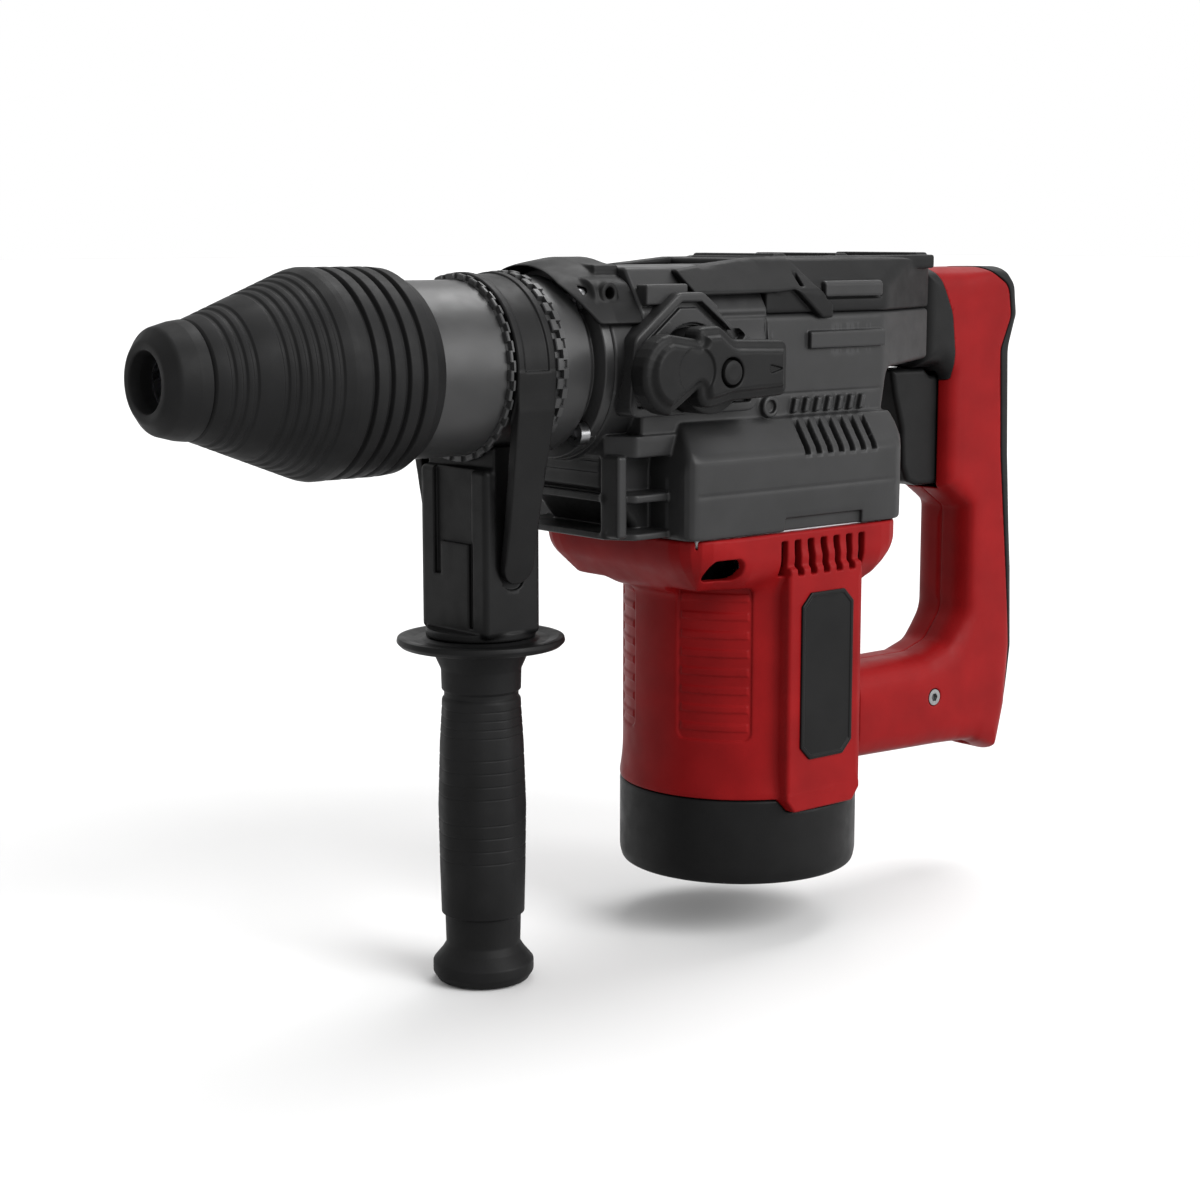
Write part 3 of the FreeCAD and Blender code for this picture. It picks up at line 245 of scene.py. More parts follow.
def turned(name, axis, centre, profile, body, slot, nodes=(), look=None, segments=160, wave=None):
    """A turned piece: a closed profile of (along, radius) points swept about an axis.

    wave(angle, along, radius) may return a changed radius, for teeth and flats.
    """
    count = len(profile)
    angles = np.linspace(0, 2 * math.pi, segments, endpoint=False)
    along = np.array([p[0] for p in profile])
    radius = np.array([p[1] for p in profile])
    rings = np.repeat(radius[None, :], segments, 0)
    if wave is not None:
        rings = wave(angles[:, None], along[None, :], rings)
    u = rings * np.cos(angles)[:, None]
    v = rings * np.sin(angles)[:, None]
    w = np.repeat(along[None, :], segments, 0)
    if axis == "x":
        co = np.stack([w, u + centre[0], v + centre[1]], -1)
    else:
        co = np.stack([u + centre[0], v + centre[1], w], -1)
    faces = []
    for k in range(segments):
        for i in range(count):
            a, b = k * count + i, k * count + (i + 1) % count
            n = (k + 1) % segments
            c, d = n * count + (i + 1) % count, n * count + i
            faces.append((a, b, c, d))
    mesh = bpy.data.meshes.new(name)
    mesh.from_pydata((co.reshape(-1, 3) * MM).tolist(), [], faces)
    tidy_mesh(mesh)
    return add_piece(name, mesh, body, slot, nodes, look)


def tidy_mesh(mesh, sharp=math.radians(40)):
    """Merges doubled points, drops empty faces, turns faces outward and smooths their shading."""
    work = bmesh.new()
    work.from_mesh(mesh)
    bmesh.ops.remove_doubles(work, verts=work.verts, dist=0.005 * MM)
    bmesh.ops.dissolve_degenerate(work, edges=work.edges, dist=0.001 * MM)
    bmesh.ops.recalc_face_normals(work, faces=work.faces)
    work.to_mesh(mesh)
    work.free()
    mesh.polygons.foreach_set("use_smooth", [True] * len(mesh.polygons))
    mesh.set_sharp_from_angle(angle=sharp)
    mesh.update()


class Block:
    """A block of space on a regular grid, in which a shape is the distance to its surface.

    A distance is below zero inside the shape. The side s is |y|, for both sides at once.
    """

    def __init__(self, low, high, step):
        self.step = step * 1.0
        margin = 4 * self.step
        axes = []
        for a, b in zip(low, high):
            count = int(math.ceil((b - a + 2 * margin) / self.step)) + 1
            axes.append((a - margin + self.step * np.arange(count)).astype(np.float32))
        self.low = np.array([axis[0] for axis in axes], np.float32)
        grid = np.meshgrid(*axes, indexing="ij", sparse=True)
        self.at = dict(zip("xyz", grid))
        self.at["s"] = np.abs(self.at["y"])

    def cap(self, flat, along, low, high, edge):
        """A flat shape's distance carried from low to high, with its two rims rounded."""
        ends = np.abs(along - (low + high) / 2) - (high - low) / 2
        if edge <= 0:
            return np.maximum(flat, ends)
        a, b = flat + edge, ends + edge
        corner = np.sqrt(np.maximum(a, 0) ** 2 + np.maximum(b, 0) ** 2)
        return np.minimum(np.maximum(a, b), 0) + corner - edge

    def outline(self, axis, points):
        """Distance to a closed outline in the plane across an axis."""
        u, v, _ = (self.at[name] for name in PLANES[axis])
        nearest = np.full(np.broadcast(u, v).shape, 1e9, np.float32)
        inside = np.zeros(nearest.shape, bool)
        for i, (px, py) in enumerate(points):
            qx, qy = points[i - 1]
            ex, ey = qx - px, qy - py
            wx, wy = u - px, v - py
            t = np.clip((wx * ex + wy * ey) / max(ex * ex + ey * ey, 1e-9), 0, 1)
            nearest = np.minimum(nearest, (wx - ex * t) ** 2 + (wy - ey * t) ** 2)
            if ey != 0:
                crosses = (v >= py) != (v >= qy)
                inside ^= crosses & (u < px + (v - py) * ex / ey)
        distance = np.sqrt(nearest)
        return np.where(inside, -distance, distance)

    def prism(self, axis, points, low, high, edge=0.0):
        return self.cap(self.outline(axis, points), self.at[PLANES[axis][2]], low, high, edge)

    def disc(self, axis, centre, radius, low, high, edge=0.0):
        u, v, along = (self.at[name] for name in PLANES[axis])
        flat = np.sqrt((u - centre[0]) ** 2 + (v - centre[1]) ** 2) - radius
        return self.cap(flat, along, low, high, edge)

    def brick(self, low, high, edge=0.0, side="y"):
        """A box; side "s" makes it on both sides of the middle plane."""
        q = []
        for name, a, b in zip(("x", side, "z"), low, high):
            q.append(np.abs(self.at[name] - (a + b) / 2) - (b - a) / 2 + edge)
        outside = np.sqrt(sum(np.maximum(part, 0) ** 2 for part in q))
        inside = np.minimum(np.maximum(np.maximum(q[0], q[1]), q[2]), 0)
        return outside + inside - edge

    def skin(self, shape, name, body, slot, nodes=(), look=None, coarsen=0.004):
        """The shape's surface as a mesh piece, shaded by the distance's own slope."""
        distance = np.ascontiguousarray(
            np.clip(shape, -3 * self.step, 3 * self.step), np.float32)
        grid = openvdb.FloatGrid(3 * self.step)
        grid.copyFromArray(distance)
        points, triangles, quads = grid.convertToPolygons(isovalue=0, adaptivity=coarsen)
        normals = slopes(distance, points)
        faces = [tuple(int(i) for i in face) for face in quads]
        faces += [tuple(int(i) for i in face) for face in triangles]
        if faces_point_in(points, faces, normals):
            faces = [face[::-1] for face in faces]
        mesh = bpy.data.meshes.new(name)
        mesh.from_pydata(((points * self.step + self.low) * MM).tolist(), [], faces)
        mesh.validate()
        mesh.polygons.foreach_set("use_smooth", [True] * len(mesh.polygons))
        if len(mesh.vertices) == len(normals):
            mesh.normals_split_custom_set_from_vertices(normals.tolist())
        mesh.update()
        return add_piece(name, mesh, body, slot, nodes, look)


def sample(values, points):
    """Values of a grid between its points."""
    top = np.array(values.shape) - 2
    base = np.clip(np.floor(points).astype(int), 0, top)
    f = points - base
    total = 0
    for i in (0, 1):
        for j in (0, 1):
            for k in (0, 1):
                weight = np.abs(1 - i - f[:, 0]) * np.abs(1 - j - f[:, 1]) * np.abs(1 - k - f[:, 2])
                total = total + weight * values[base[:, 0] + i, base[:, 1] + j, base[:, 2] + k]
    return total


def slopes(values, points, reach=0.6):
    """Unit vectors along which a grid of distances grows fastest."""
    found = []
    for axis in range(3):
        shift = np.zeros(3)
        shift[axis] = reach
        found.append(sample(values, points + shift) - sample(values, points - shift))
    vectors = np.stack(found, -1)
    return vectors / np.maximum(np.linalg.norm(vectors, axis=1, keepdims=True), 1e-6)


def faces_point_in(points, faces, normals):
    """Whether the faces wind against the normals, judged on a spread of them."""
    some = faces[:: max(1, len(faces) // 500)]
    score = 0
    for face in some:
        a, b, c = (points[i] for i in face[:3])
        score += float(np.cross(b - a, c - a) @ normals[face[0]] > 0) - 0.5
    return score < 0


def union(*shapes, blend=0.0):
    """Shapes joined; blend is the size of the fillet where they meet."""
    total = shapes[0]
    for other in shapes[1:]:
        if blend > 0:
            near = np.maximum(blend - np.abs(total - other), 0) / blend
            total = np.minimum(total, other) - near * near * blend / 4
        else:
            total = np.minimum(total, other)
    return total


def cut(shape, *tools, blend=0.0):
    """A shape less its tools; blend rounds the edge of each cut."""
    for tool in tools:
        shape = meet(shape, -tool, blend=blend)
    return shape


def meet(*shapes, blend=0.0):
    """What the shapes have in common; blend rounds the edge where they cross."""
    total = shapes[0]
    for other in shapes[1:]:
        if blend > 0:
            near = np.maximum(blend - np.abs(total - other), 0) / blend
            total = np.maximum(total, other) + near * near * blend / 4
        else:
            total = np.maximum(total, other)
    return total


# --- camera, light and floor -------------------------------------------------------------------

def aim(thing, target):
    thing.rotation_euler = (Vector(target) - thing.location).to_track_quat("-Z", "Y").to_euler()


def make_camera():
    data = bpy.data.cameras.new("camera")
    data.lens = 68.83
    data.sensor_width = 36
    camera = bpy.data.objects.new("camera", data)
    camera.location = (-0.6304, -0.6518, 0.2493)
    aim(camera, camera.location + Vector((0.6417, 0.7505, -0.1582)))
    bpy.context.collection.objects.link(camera)
    bpy.context.scene.camera = camera


def soft_lamp(name, side, height, spread, power):
    """A wide, distant lamp: its compass side and height are angles, and spread is its breadth."""
    data = bpy.data.lights.new(name, "SUN")
    data.angle = math.radians(spread)
    data.energy = power
    lamp = bpy.data.objects.new(name, data)
    turn, lift = math.radians(side), math.radians(height)
    flat = math.cos(lift)
    lamp.location = (flat * math.cos(turn), flat * math.sin(turn), math.sin(lift))
    aim(lamp, (0, 0, 0))
    bpy.context.collection.objects.link(lamp)


def make_studio():
    """A pale floor under an even white sky, and three soft lamps."""
    scene = bpy.context.scene
    scene.view_settings.view_transform = "Standard"
    world = bpy.data.worlds.new("studio")
    scene.world = world
    world.use_nodes = True
    world.node_tree.nodes["Background"].inputs["Color"].default_value = (1, 1, 1, 1)
    world.node_tree.nodes["Background"].inputs["Strength"].default_value = 1.0
    mesh = bpy.data.meshes.new("floor")
    reach = 20.0
    z = FLOOR_Z * MM - 0.0002
    corners = [(-reach, -reach, z), (reach, -reach, z), (reach, reach, z), (-reach, reach, z)]
    mesh.from_pydata(corners, [], [(0, 1, 2, 3)])
    floor = bpy.data.objects.new("floor", mesh)
    bpy.context.collection.objects.link(floor)
    paint = bpy.data.materials.new("floor_paint")
    paint.use_nodes = True
    shader = paint.node_tree.nodes["Principled BSDF"]
    shader.inputs["Base Color"].default_value = (FLOOR_SHADE, FLOOR_SHADE, FLOOR_SHADE, 1)
    shader.inputs["Roughness"].default_value = 0.8
    shader.inputs["Specular IOR Level"].default_value = 0.1
    mesh.materials.append(paint)
    soft_lamp("key_lamp", -80, 35, 35, 3.0)
    soft_lamp("back_lamp", 20, 62, 35, 2.4)
    soft_lamp("side_lamp", -62, 14, 40, 2.0)


make_camera()
make_studio()


# --- chuck and barrel --------------------------------------------------------------------------

def make_nose():
    """The rounded rubber cap at the mouth."""
    low, high = node_box("dust_cap")
    front, rear, radius = low[0], high[0], high[1]
    mouth = 9.7
    profile = rounded([
        (rear, mouth, 0), (rear, radius, 0.3), (rear - 4, radius - 0.5, 2),
        (front + 3.6, radius - 2.2, 3.5), (front, radius - 6.6, 2.4),
        (front + 0.2, mouth + 0.6, 0.8), (front + 4, mouth - 0.1, 1)], 1)
    turned("nose_cap", "x", (0, AXIS_Z), profile, "spindle", "black_rubber", ["dust_cap"])


def make_rubber_sleeve():
    """The ribbed cone: shallow ribs along the taper and deep rings round the rear."""
    low, high = node_box("chuck_sleeve")
    front, rear, radius = low[0], high[0], high[1]
    nose = node_box("dust_cap")[1][1]
    shoulder = front + 44
    slope = (radius - nose) / (shoulder - front - 1.2)
    outer = [(front + 0.2, nose - 1.2), (front + 1.2, nose)]

    def on_cone(x):
        return nose + slope * (x - front - 1.2)

    grooves = [front + 6 + 3.4 * k for k in range(3)] + [front + 22 + 3.4 * k for k in range(6)]
    for x in grooves:
        r = on_cone(x)
        outer += [(x - 1.0, r - slope), (x - 0.45, r - 0.65), (x + 0.45, r - 0.4), (x + 1.0, r + slope)]
    outer += [(shoulder - 0.8, radius - 0.4), (shoulder + 1.2, radius)]
    ring_pitch = 6.6
    ring_start = shoulder + 6.5
    for k in range(4):
        x = ring_start + ring_pitch * k
        outer += [(x - 1.3, radius), (x - 0.7, radius - 1.9),
                  (x + 0.7, radius - 1.9), (x + 1.3, radius - 0.1)]
    outer += [(rear - 6, radius - 0.5), (rear - 0.8, radius - 3.4), (rear, radius - 4.2)]
    bore = 15.4
    inner = [(rear, 31.7), (front + 50, 31.7), (front + 50, 20), (front + 18, 20), (front + 18, bore),
             (front + 0.2, bore)]
    profile = rounded([(x, r, 0.5) for x, r in outer] + [(x, r, 0) for x, r in inner], 0.5, 3)
    turned("rubber_sleeve", "x", (0, AXIS_Z), profile, "sleeve", "black_rubber", ["chuck_sleeve"],
           segments=192)


def make_barrel():
    """The smooth tube, with the black groove in front of the bulkhead."""
    low, high = node_box("barrel_housing")
    front, rear = low[0], high[0]
    radius = 31
    bore = 24.2
    profile = rounded([
        (front, bore, 0), (front, radius - 1.2, 0.8), (front + 2, radius, 1), (rear - 20.5, radius, 0.5),
        (rear - 19.5, radius + 1.2, 0.6), (rear - 8.4, radius + 1.2, 0.8), (rear - 7.6, 28.5, 0.5),
        (rear - 4.2, 28.5, 0.5), (rear - 3.8, radius + 3.6, 0.8), (rear, radius + 4, 0.4),
        (rear, bore, 0)], 0.5)
    turned("barrel", "x", (0, AXIS_Z), profile, "housing", "grey_casting", ["barrel_housing"],
           look="barrel_paint", segments=192)


def make_detent_rings():
    """The two toothed rings that the side handle locks into."""
    low, high = node_box("detent_rings")
    teeth = 30
    inner = 31.2
    rims = ((low[0], low[0] + 2.3, 0.5, high[1] - 0.8), (high[0] - 4.8, high[0], 0.0, high[1]))
    segments = 480
    for number, (x0, x1, phase, outer) in enumerate(rims):
        middle = (x0 + x1) / 2
        profile = [(x0, inner), (x0, outer - 0.3), (x0 + 0.3, outer), (middle - 0.1, outer),
                   (middle + 0.1, outer), (x1 - 0.3, outer), (x1, outer - 0.3), (x1, inner)]

        def toothed(angle, along, radius, middle=middle, phase=phase, x1=x1):
            turn = (angle * teeth / (2 * math.pi) + phase + np.where(along > middle, 0.5, 0)) % 1
            gap = (turn < 0.42) & (radius > inner + 1)
            return np.where(gap, radius - 1.9, radius)

        nodes = ["detent_rings"] if number == 0 else []
        turned(f"detent_ring_{number + 1}", "x", (0, AXIS_Z), profile, "housing", "grey_casting",
               nodes, look="barrel_paint", segments=segments, wave=toothed)


# --- gear housing ------------------------------------------------------------------------------

def make_gear_case():
    """The grey casting: round crown, wide belly, finned front corners, tail and vents."""
    low, high = node_box("gear_housing")
    front, rear = low[0], high[0]
    seam = node_box("motor_housing")[1][2]
    belly, top = high[1], high[2]
    block = Block((front - 2, -belly - 1, low[2]), (rear, belly + 1, top + 1), 0.5)
    axis = AXIS_Z
    crown = block.disc("x", (0, axis), 35.4, front, -18, 1.2)
    shoulders = rounded([(-34.6, 176), (34.6, 176), (35, 196), (34.6, 221, 3), (25, top, 3),
                         (-25, top, 3), (-34.6, 221, 3), (-35, 196)], 2)
    upper = block.prism("x", shoulders, front + 13, -20, 1.2)
    tail_plan = rounded([(-40, -34), (44, -34, 14), (rear, -18, 4), (rear, 18, 4),
                         (44, 34, 14), (-40, 34)], 2)
    tail_side = rounded([(-30, 178), (45, 178, 2), (50, 196, 6), (rear, 198, 2),
                         (rear, 219), (-30, 219)], 1)
    tail = meet(block.outline("z", tail_plan), block.outline("y", tail_side), blend=3)
    case = union(crown, upper, tail, blend=1.2)

    plan = rounded([(-70, -belly, 7), (48, -belly, 13), (48, belly, 13), (-70, belly, 7)], 5)
    section = rounded([(-46.6, seam, 1.5), (46.6, seam, 1.5), (belly, seam + 14, 1),
                       (belly, seam + 29, 1.5), (35.6, seam + 42, 2), (-35.6, seam + 42, 2),
                       (-belly, seam + 29, 1.5),
                       (-belly, seam + 14, 1)], 1.5)
    wide = meet(block.outline("z", plan), block.outline("x", section), blend=2.5)
    lean = (block.at["x"] + 69.5) * -0.94 + (block.at["z"] - 168) * 0.34
    wide = meet(wide, lean, blend=2)
    case = union(case, wide, blend=1.5)

    snout = rounded([(-92, 176, 1), (-92, 158, 2), (-74, 138.5, 3), (-60, 138.5), (-60, 176)], 1)
    nose = block.prism("y", snout, -24, 24, 3)
    fin = rounded([(-93, -25, 1), (-86, -35.2, 3), (-64, -35.2), (-64, 35.2), (-86, 35.2, 3),
                   (-93, 25, 1)], 1)
    fins = [block.prism("z", fin, z0, z1, 0.7)
            for z0, z1 in ((139, 141.5), (152.6, 155.6), (169, 177))]
    case = union(case, nose, *fins, blend=1.0)
    post = block.brick((-93, 23, 140), (-88.5, 33.5, 170), 1.2, side="s")
    case = union(case, post, blend=1)
    case = cut(case, block.brick((-88, 25.5, 157.2), (-71, 40, 167.4), 1.5, side="s"), blend=0.8)
    case = cut(case, block.brick((-88, 25.5, 143), (-71, 40, 151.2), 1.5, side="s"), blend=0.8)
    case = case_details(block, case, belly, seam)
    case = hollow_case(block, case, belly, seam, axis)
    block.skin(case, "gear_case", "housing", "grey_casting", ["gear_housing"])


def case_details(block, case, belly, seam):
    """Grooves, panels, the screw bosses, the louvres and the slot above the motor's vents."""
    x, s, z = block.at["x"], block.at["s"], block.at["z"]
    line = np.maximum(np.abs(z - (seam + 16.3)) - 0.45, (belly - 0.75) - s)
    case = cut(case, np.maximum(line, -(x + 66)), blend=0.5)
    for x0, x1, z0, z1 in ((-82, -62, 223.5, 231), (2, 44, 205.5, 212)):
        panel = block.brick((x0, 30, z0), (x1, 36.2, z1), 0.6, side="s")
        case = union(case, panel, blend=0.4)
    case = cut(case, block.brick((-44, 34.2, 218.2), (-20, 40, 219.6), 0.3, side="s"), blend=0.3)
    case = cut(case, block.brick((-21, 33.6, 192), (-19.6, 40, 218), 0.3, side="s"), blend=0.4)
    case = cut(case, block.brick((-26, 33.8, 188.2), (44, 40, 189.2), 0.2, side="s"), blend=0.4)
    pitch = 6.1
    for k in VENTS:
        foot = -11 + pitch * k
        slot = [(foot, 166.5), (foot + 2.7, 166.5), (foot + 5.8, 179.5), (foot + 3.1, 179.5)]
        case = cut(case, block.prism("s", slot, 36, 50), blend=0.6)
        lip = [(foot + 3.6, 181.5), (foot + 6.0, 181.5), (foot + 7.4, 187), (foot + 5.0, 187)]
        case = union(case, block.prism("s", lip, 30, 36.4, 0.6), blend=0.6)
    notch = block.brick((-21, belly - 3, seam - 1), (21, belly + 2, seam + 5.2), 0.8, side="s")
    case = cut(case, notch, blend=0.5)
    boss = block.disc("s", (-20, 184.5), 4.2, 30, 37.4, 0.8)
    case = union(case, boss, blend=1)
    case = cut(case, block.disc("s", (-20, 184.5), 2.4, 35.8, 40), blend=0.3)
    return case


def hollow_case(block, case, belly, seam, axis):
    """The rooms inside, so that the vents look into the dark."""
    rooms = [
        block.brick((-66, 4 - belly, seam - 6), (44, belly - 4, seam + 28)),
        block.brick((-57, -31, 163), (42, 31, 214)),
        block.brick((-57, -23.5, 180), (-12, 23.5, 228)),
        block.brick((40, -13, 201), (84, 13, 215)),
        block.disc("x", (0, axis), 24.1, -100, -57),
    ]
    return cut(case, *rooms)


def make_hood():
    """The black hood over the bulkhead, with a screw boss on each shoulder."""
    low, high = node_box("gear_housing")
    front, top = low[0], high[2]
    x0, x1 = front - 15, front + 14
    block = Block((x0, -38, 208), (x1, 38, top + 5), 0.4)
    x, y, z = (block.at[name] for name in "xyz")
    radial = np.sqrt(y ** 2 + (z - AXIS_Z) ** 2)
    crest = 35.6 + 3.0 * np.clip((x - x0) / 16, 0, 1) ** 0.7
    shell = np.maximum(radial - crest, 35.45 - radial)
    side = rounded([(x0, top + 9), (x0, 231, 2), (x0 + 9, 217, 3), (x1, 217, 2), (x1, top + 9)], 2)
    shell = meet(shell, block.outline("y", side), blend=1.2)
    lift = block.prism("x", rounded([(-21, 224), (21, 224), (21, top + 1, 2), (-21, top + 1, 2)], 2),
                       front + 2, x1, 1.0)
    shell = union(shell, cut(lift, block.disc("x", (0, AXIS_Z), 35.45, x0 - 1, x1 + 1)), blend=1.5)
    boss = block.disc("x", (22.5, AXIS_Z + 24), 7.2, front - 5, front + 13, 1.2)
    boss = np.minimum(boss, block.disc("x", (-22.5, AXIS_Z + 24), 7.2, front - 5, front + 13, 1.2))
    shell = union(shell, boss, blend=1.5)
    for side_y in (-22.5, 22.5):
        shell = cut(shell, block.disc("x", (side_y, AXIS_Z + 24), 4.6, front - 8, front + 0.5), blend=0.5)
    hole = block.disc("s", (front + 1.5, 228), 2.0, 20, 40)
    pad = block.disc("s", (front + 1.5, 228), 4.0, 20, 30.6, 0.6)
    shell = cut(union(shell, pad, blend=0.8), hole, blend=0.4)
    keep = block.disc("x", (0, AXIS_Z), 34.9, x0 - 2, x1 + 2)
    shell = cut(shell, keep)
    block.skin(shell, "bulkhead_hood", "housing", "black_plastic")


def make_cover():
    """The black cover over the rear, with its rails, side bands and raised bars."""
    low, high = node_box("top_cover")
    x0, x1 = low[0], high[0]
    base = 219.0
    block = Block((-66, -37, 214), (x1 + 1, 37, high[2] + 1), 0.45)
    x, s, z = block.at["x"], block.at["s"], block.at["z"]
    plan = rounded([(x0, -34), (45, -34, 14), (x1, -18, 4), (x1, 18, 4), (45, 34, 14), (x0, 34)], 1)
    section = rounded([(-34, base), (34, base), (34, 229, 2), (26, 239.6, 2.5), (-26, 239.6, 2.5),
                       (-34, 229, 2)], 2)
    cover = meet(block.outline("z", plan), block.outline("x", section), blend=2)
    slope = (z - 239.6) + (x - 60) * 0.06
    cover = meet(cover, slope, blend=1)
    rail = block.brick((x0 + 12, -24, 235), (x1 - 4, 24, 240.4), 1.0)
    rail = cut(rail, block.brick((x0 + 16, -19, 239.6), (x1 - 10, 19, 244), 0.5), blend=0.5)
    cover = union(cover, rail, blend=0.8)
    for middle in (-2, 32, 79):
        bar = block.brick((middle - 3.5, -22.5, 238), (middle + 3.5, 22.5, 241.4), 0.8)
        cover = union(cover, bar, blend=0.5)
    wing = rounded([(-62, 236, 1.5), (-20, 240, 1), (-2, 240, 1), (6, 229, 1), (14, 222, 1),
                    (14, 217, 1), (8, 217, 1), (-6, 228, 3), (-16, 227, 1), (-58, 226.5, 1.5)], 1)
    wing_shape = block.prism("s", wing, 20, 36.4, 1)
    slant = (s - 36.4) * 0.75 + (z - 227.5) * 0.66
    wing_shape = meet(wing_shape, slant, blend=0.8)
    room = [(-25, 214), (25, 214), (34.5, 220), (25, 237.1), (-25, 237.1), (-34.5, 220)]
    crown_room = block.prism("x", room, -70, x0)
    wing_shape = cut(wing_shape, crown_room)
    cover = union(cover, wing_shape, blend=0.4)
    window = block.brick((10, 32.8, 224), (44, 40, 232), 0.8, side="s")
    cover = cut(cover, window, blend=0.4)
    slot = block.brick((-3, 30, 229), (-1, 40, 236.5), 0.4, side="s")
    cover = cut(cover, slot, blend=0.3)
    cover = cut(cover, block.brick((-15, -29, base - 6), (43, 29, 234)))
    block.skin(cover, "rear_cover", "housing", "black_plastic", ["top_cover"])
    pane = rounded([(11, 225, 1), (43, 225, 1), (43, 231, 1), (11, 231, 1)], 1)
    panel = meet(block.prism("s", pane, 30, 35, 0.6), slant - 0.4)
    block.skin(panel, "side_windows", "housing", "grey_casting")


# --- mode knob ---------------------------------------------------------------------------------

def make_bezel():
    """The arched rim round the knob, with its stop slots."""
    low, high = node_box("knob_bezel")
    x0, x1, z0, z1 = low[0], high[0], low[2], high[2]
    pivot = node_box("knob_button")
    px, pz = (pivot[0][0] + pivot[1][0]) / 2, (pivot[0][2] + pivot[1][2]) / 2
    face = low[1]
    block = Block((x0, face - 1, z0 - 3), (x1, -28, z1), 0.3)
    arch = rounded([(x0, z0 - 2, 5), (x1, z0 - 2, 5), (x1 - 3, z0 + 24, 5), (px + 4, z1, 5),
                    (px - 8, z1, 5), (x0 + 3, z0 + 26, 5)], 5)
    ring = block.prism("y", arch, face, -29, 1.0)
    flat = block.outline("y", arch)
    bowl = block.cap(flat + 3.4, block.at["y"], face - 2, face + 3.2, 0.6)
    step = block.cap(flat + 6.2, block.at["y"], face - 2, face + 1.2, 0.4)
    ring = cut(ring, bowl, blend=0.5)
    ledge = meet(block.cap(flat + 5.6, block.at["y"], face + 1.8, face + 5, 0.4), -step)
    ring = union(ring, meet(ledge, -block.disc("y", (px, pz), 17, face - 4, -20)), blend=0.3)
    slope = rounded([(px + 10, pz + 22), (px + 13, pz + 24), (px + 25, pz + 12), (px + 22.5, pz + 9.5)], 1)
    ring = cut(ring, block.prism("y", slope, face - 2, face + 3.4, 0.3), blend=0.3)
    ring = cut(ring, block.disc("y", (px, pz), 16.2, face - 4, -20))
    block.skin(ring, "knob_bezel_ring", "housing", "grey_casting", ["knob_bezel"])


def make_knob():
    """The mode lever: a round boss, a humped grip bar and a waist round its button."""
    low, high = node_box("mode_knob")
    button = node_box("knob_button")
    px, pz = (button[0][0] + button[1][0]) / 2, (button[0][2] + button[1][2]) / 2
    face = low[1]
    block = Block((low[0] - 1, face - 1, low[2] - 2), (high[0] + 1, -34, high[2] + 5), 0.3)
    y = block.at["y"]
    head = arc_points((low[0] + 14.3, pz), 14.3, 262, 98, 12)
    bar = head + rounded([(px - 15, pz + 16.2, 4), (px - 4, pz + 16.6, 4), (px + 3, pz + 11.5, 5),
                          (high[0], pz + 10.6, 3.5), (high[0], pz - 9.4, 3.5), (px + 2, pz - 10.4, 8),
                          (px - 14, pz - 13.6, 8)], 4)
    lever = block.prism("y", bar, face + 2.2, face + 11, 2.0)
    inset = block.outline("y", bar) + 3.6
    ridge = block.cap(inset, y, face, face + 6, 1.6)
    lever = union(lever, ridge, blend=2.2)
    boss = block.disc("y", (px, pz), 15.5, face + 10.6, -35.3, 0.6)
    lever = union(lever, boss, blend=0.6)
    lever = cut(lever, block.disc("y", (px, pz), 5.4, face - 2, face + 10), blend=0.8)
    scoop = block.disc("y", (px - 17, pz + 1), 8.5, face - 10, face + 0.9, 0.5)
    lever = cut(lever, scoop, blend=0.8)
    pointer = rounded([(high[0] - 11, pz + 2.2), (high[0] - 4, pz + 0.6), (high[0] - 11, pz - 1.0)], 0.4)
    lever = cut(lever, block.prism("y", pointer, face - 1, face + 0.8), blend=0.3)
    block.skin(lever, "mode_lever", "mode_selector", "black_plastic", ["mode_knob"])
    r = (button[1][0] - button[0][0]) / 2
    top = button[0][1]
    cap = [(top + 0.1, 0), (top + 0.1, r * 0.45), (top, r * 0.7), (top + 0.3, r - 0.3), (top + 0.9, r),
           (top + 7, r), (top + 7, 0)]
    make_button(cap, px, pz)


def make_button(profile, px, pz):
    """The push button in the lever's middle, turned about Y."""
    segments = 64
    co, faces = [], []
    count = len(profile)
    for k in range(segments):
        angle = 2 * math.pi * k / segments
        across, up = math.cos(angle), math.sin(angle)
        co += [((px + r * across) * MM, y * MM, (pz + r * up) * MM) for y, r in profile]
        n = (k + 1) % segments
        for i in range(count):
            j = (i + 1) % count
            faces.append((k * count + i, k * count + j, n * count + j, n * count + i))
    mesh = bpy.data.meshes.new("lock_button")
    mesh.from_pydata(co, [], faces)
    tidy_mesh(mesh)
    add_piece("lock_button", mesh, "knob_button", "black_plastic", ["knob_button"])


# --- motor -------------------------------------------------------------------------------------

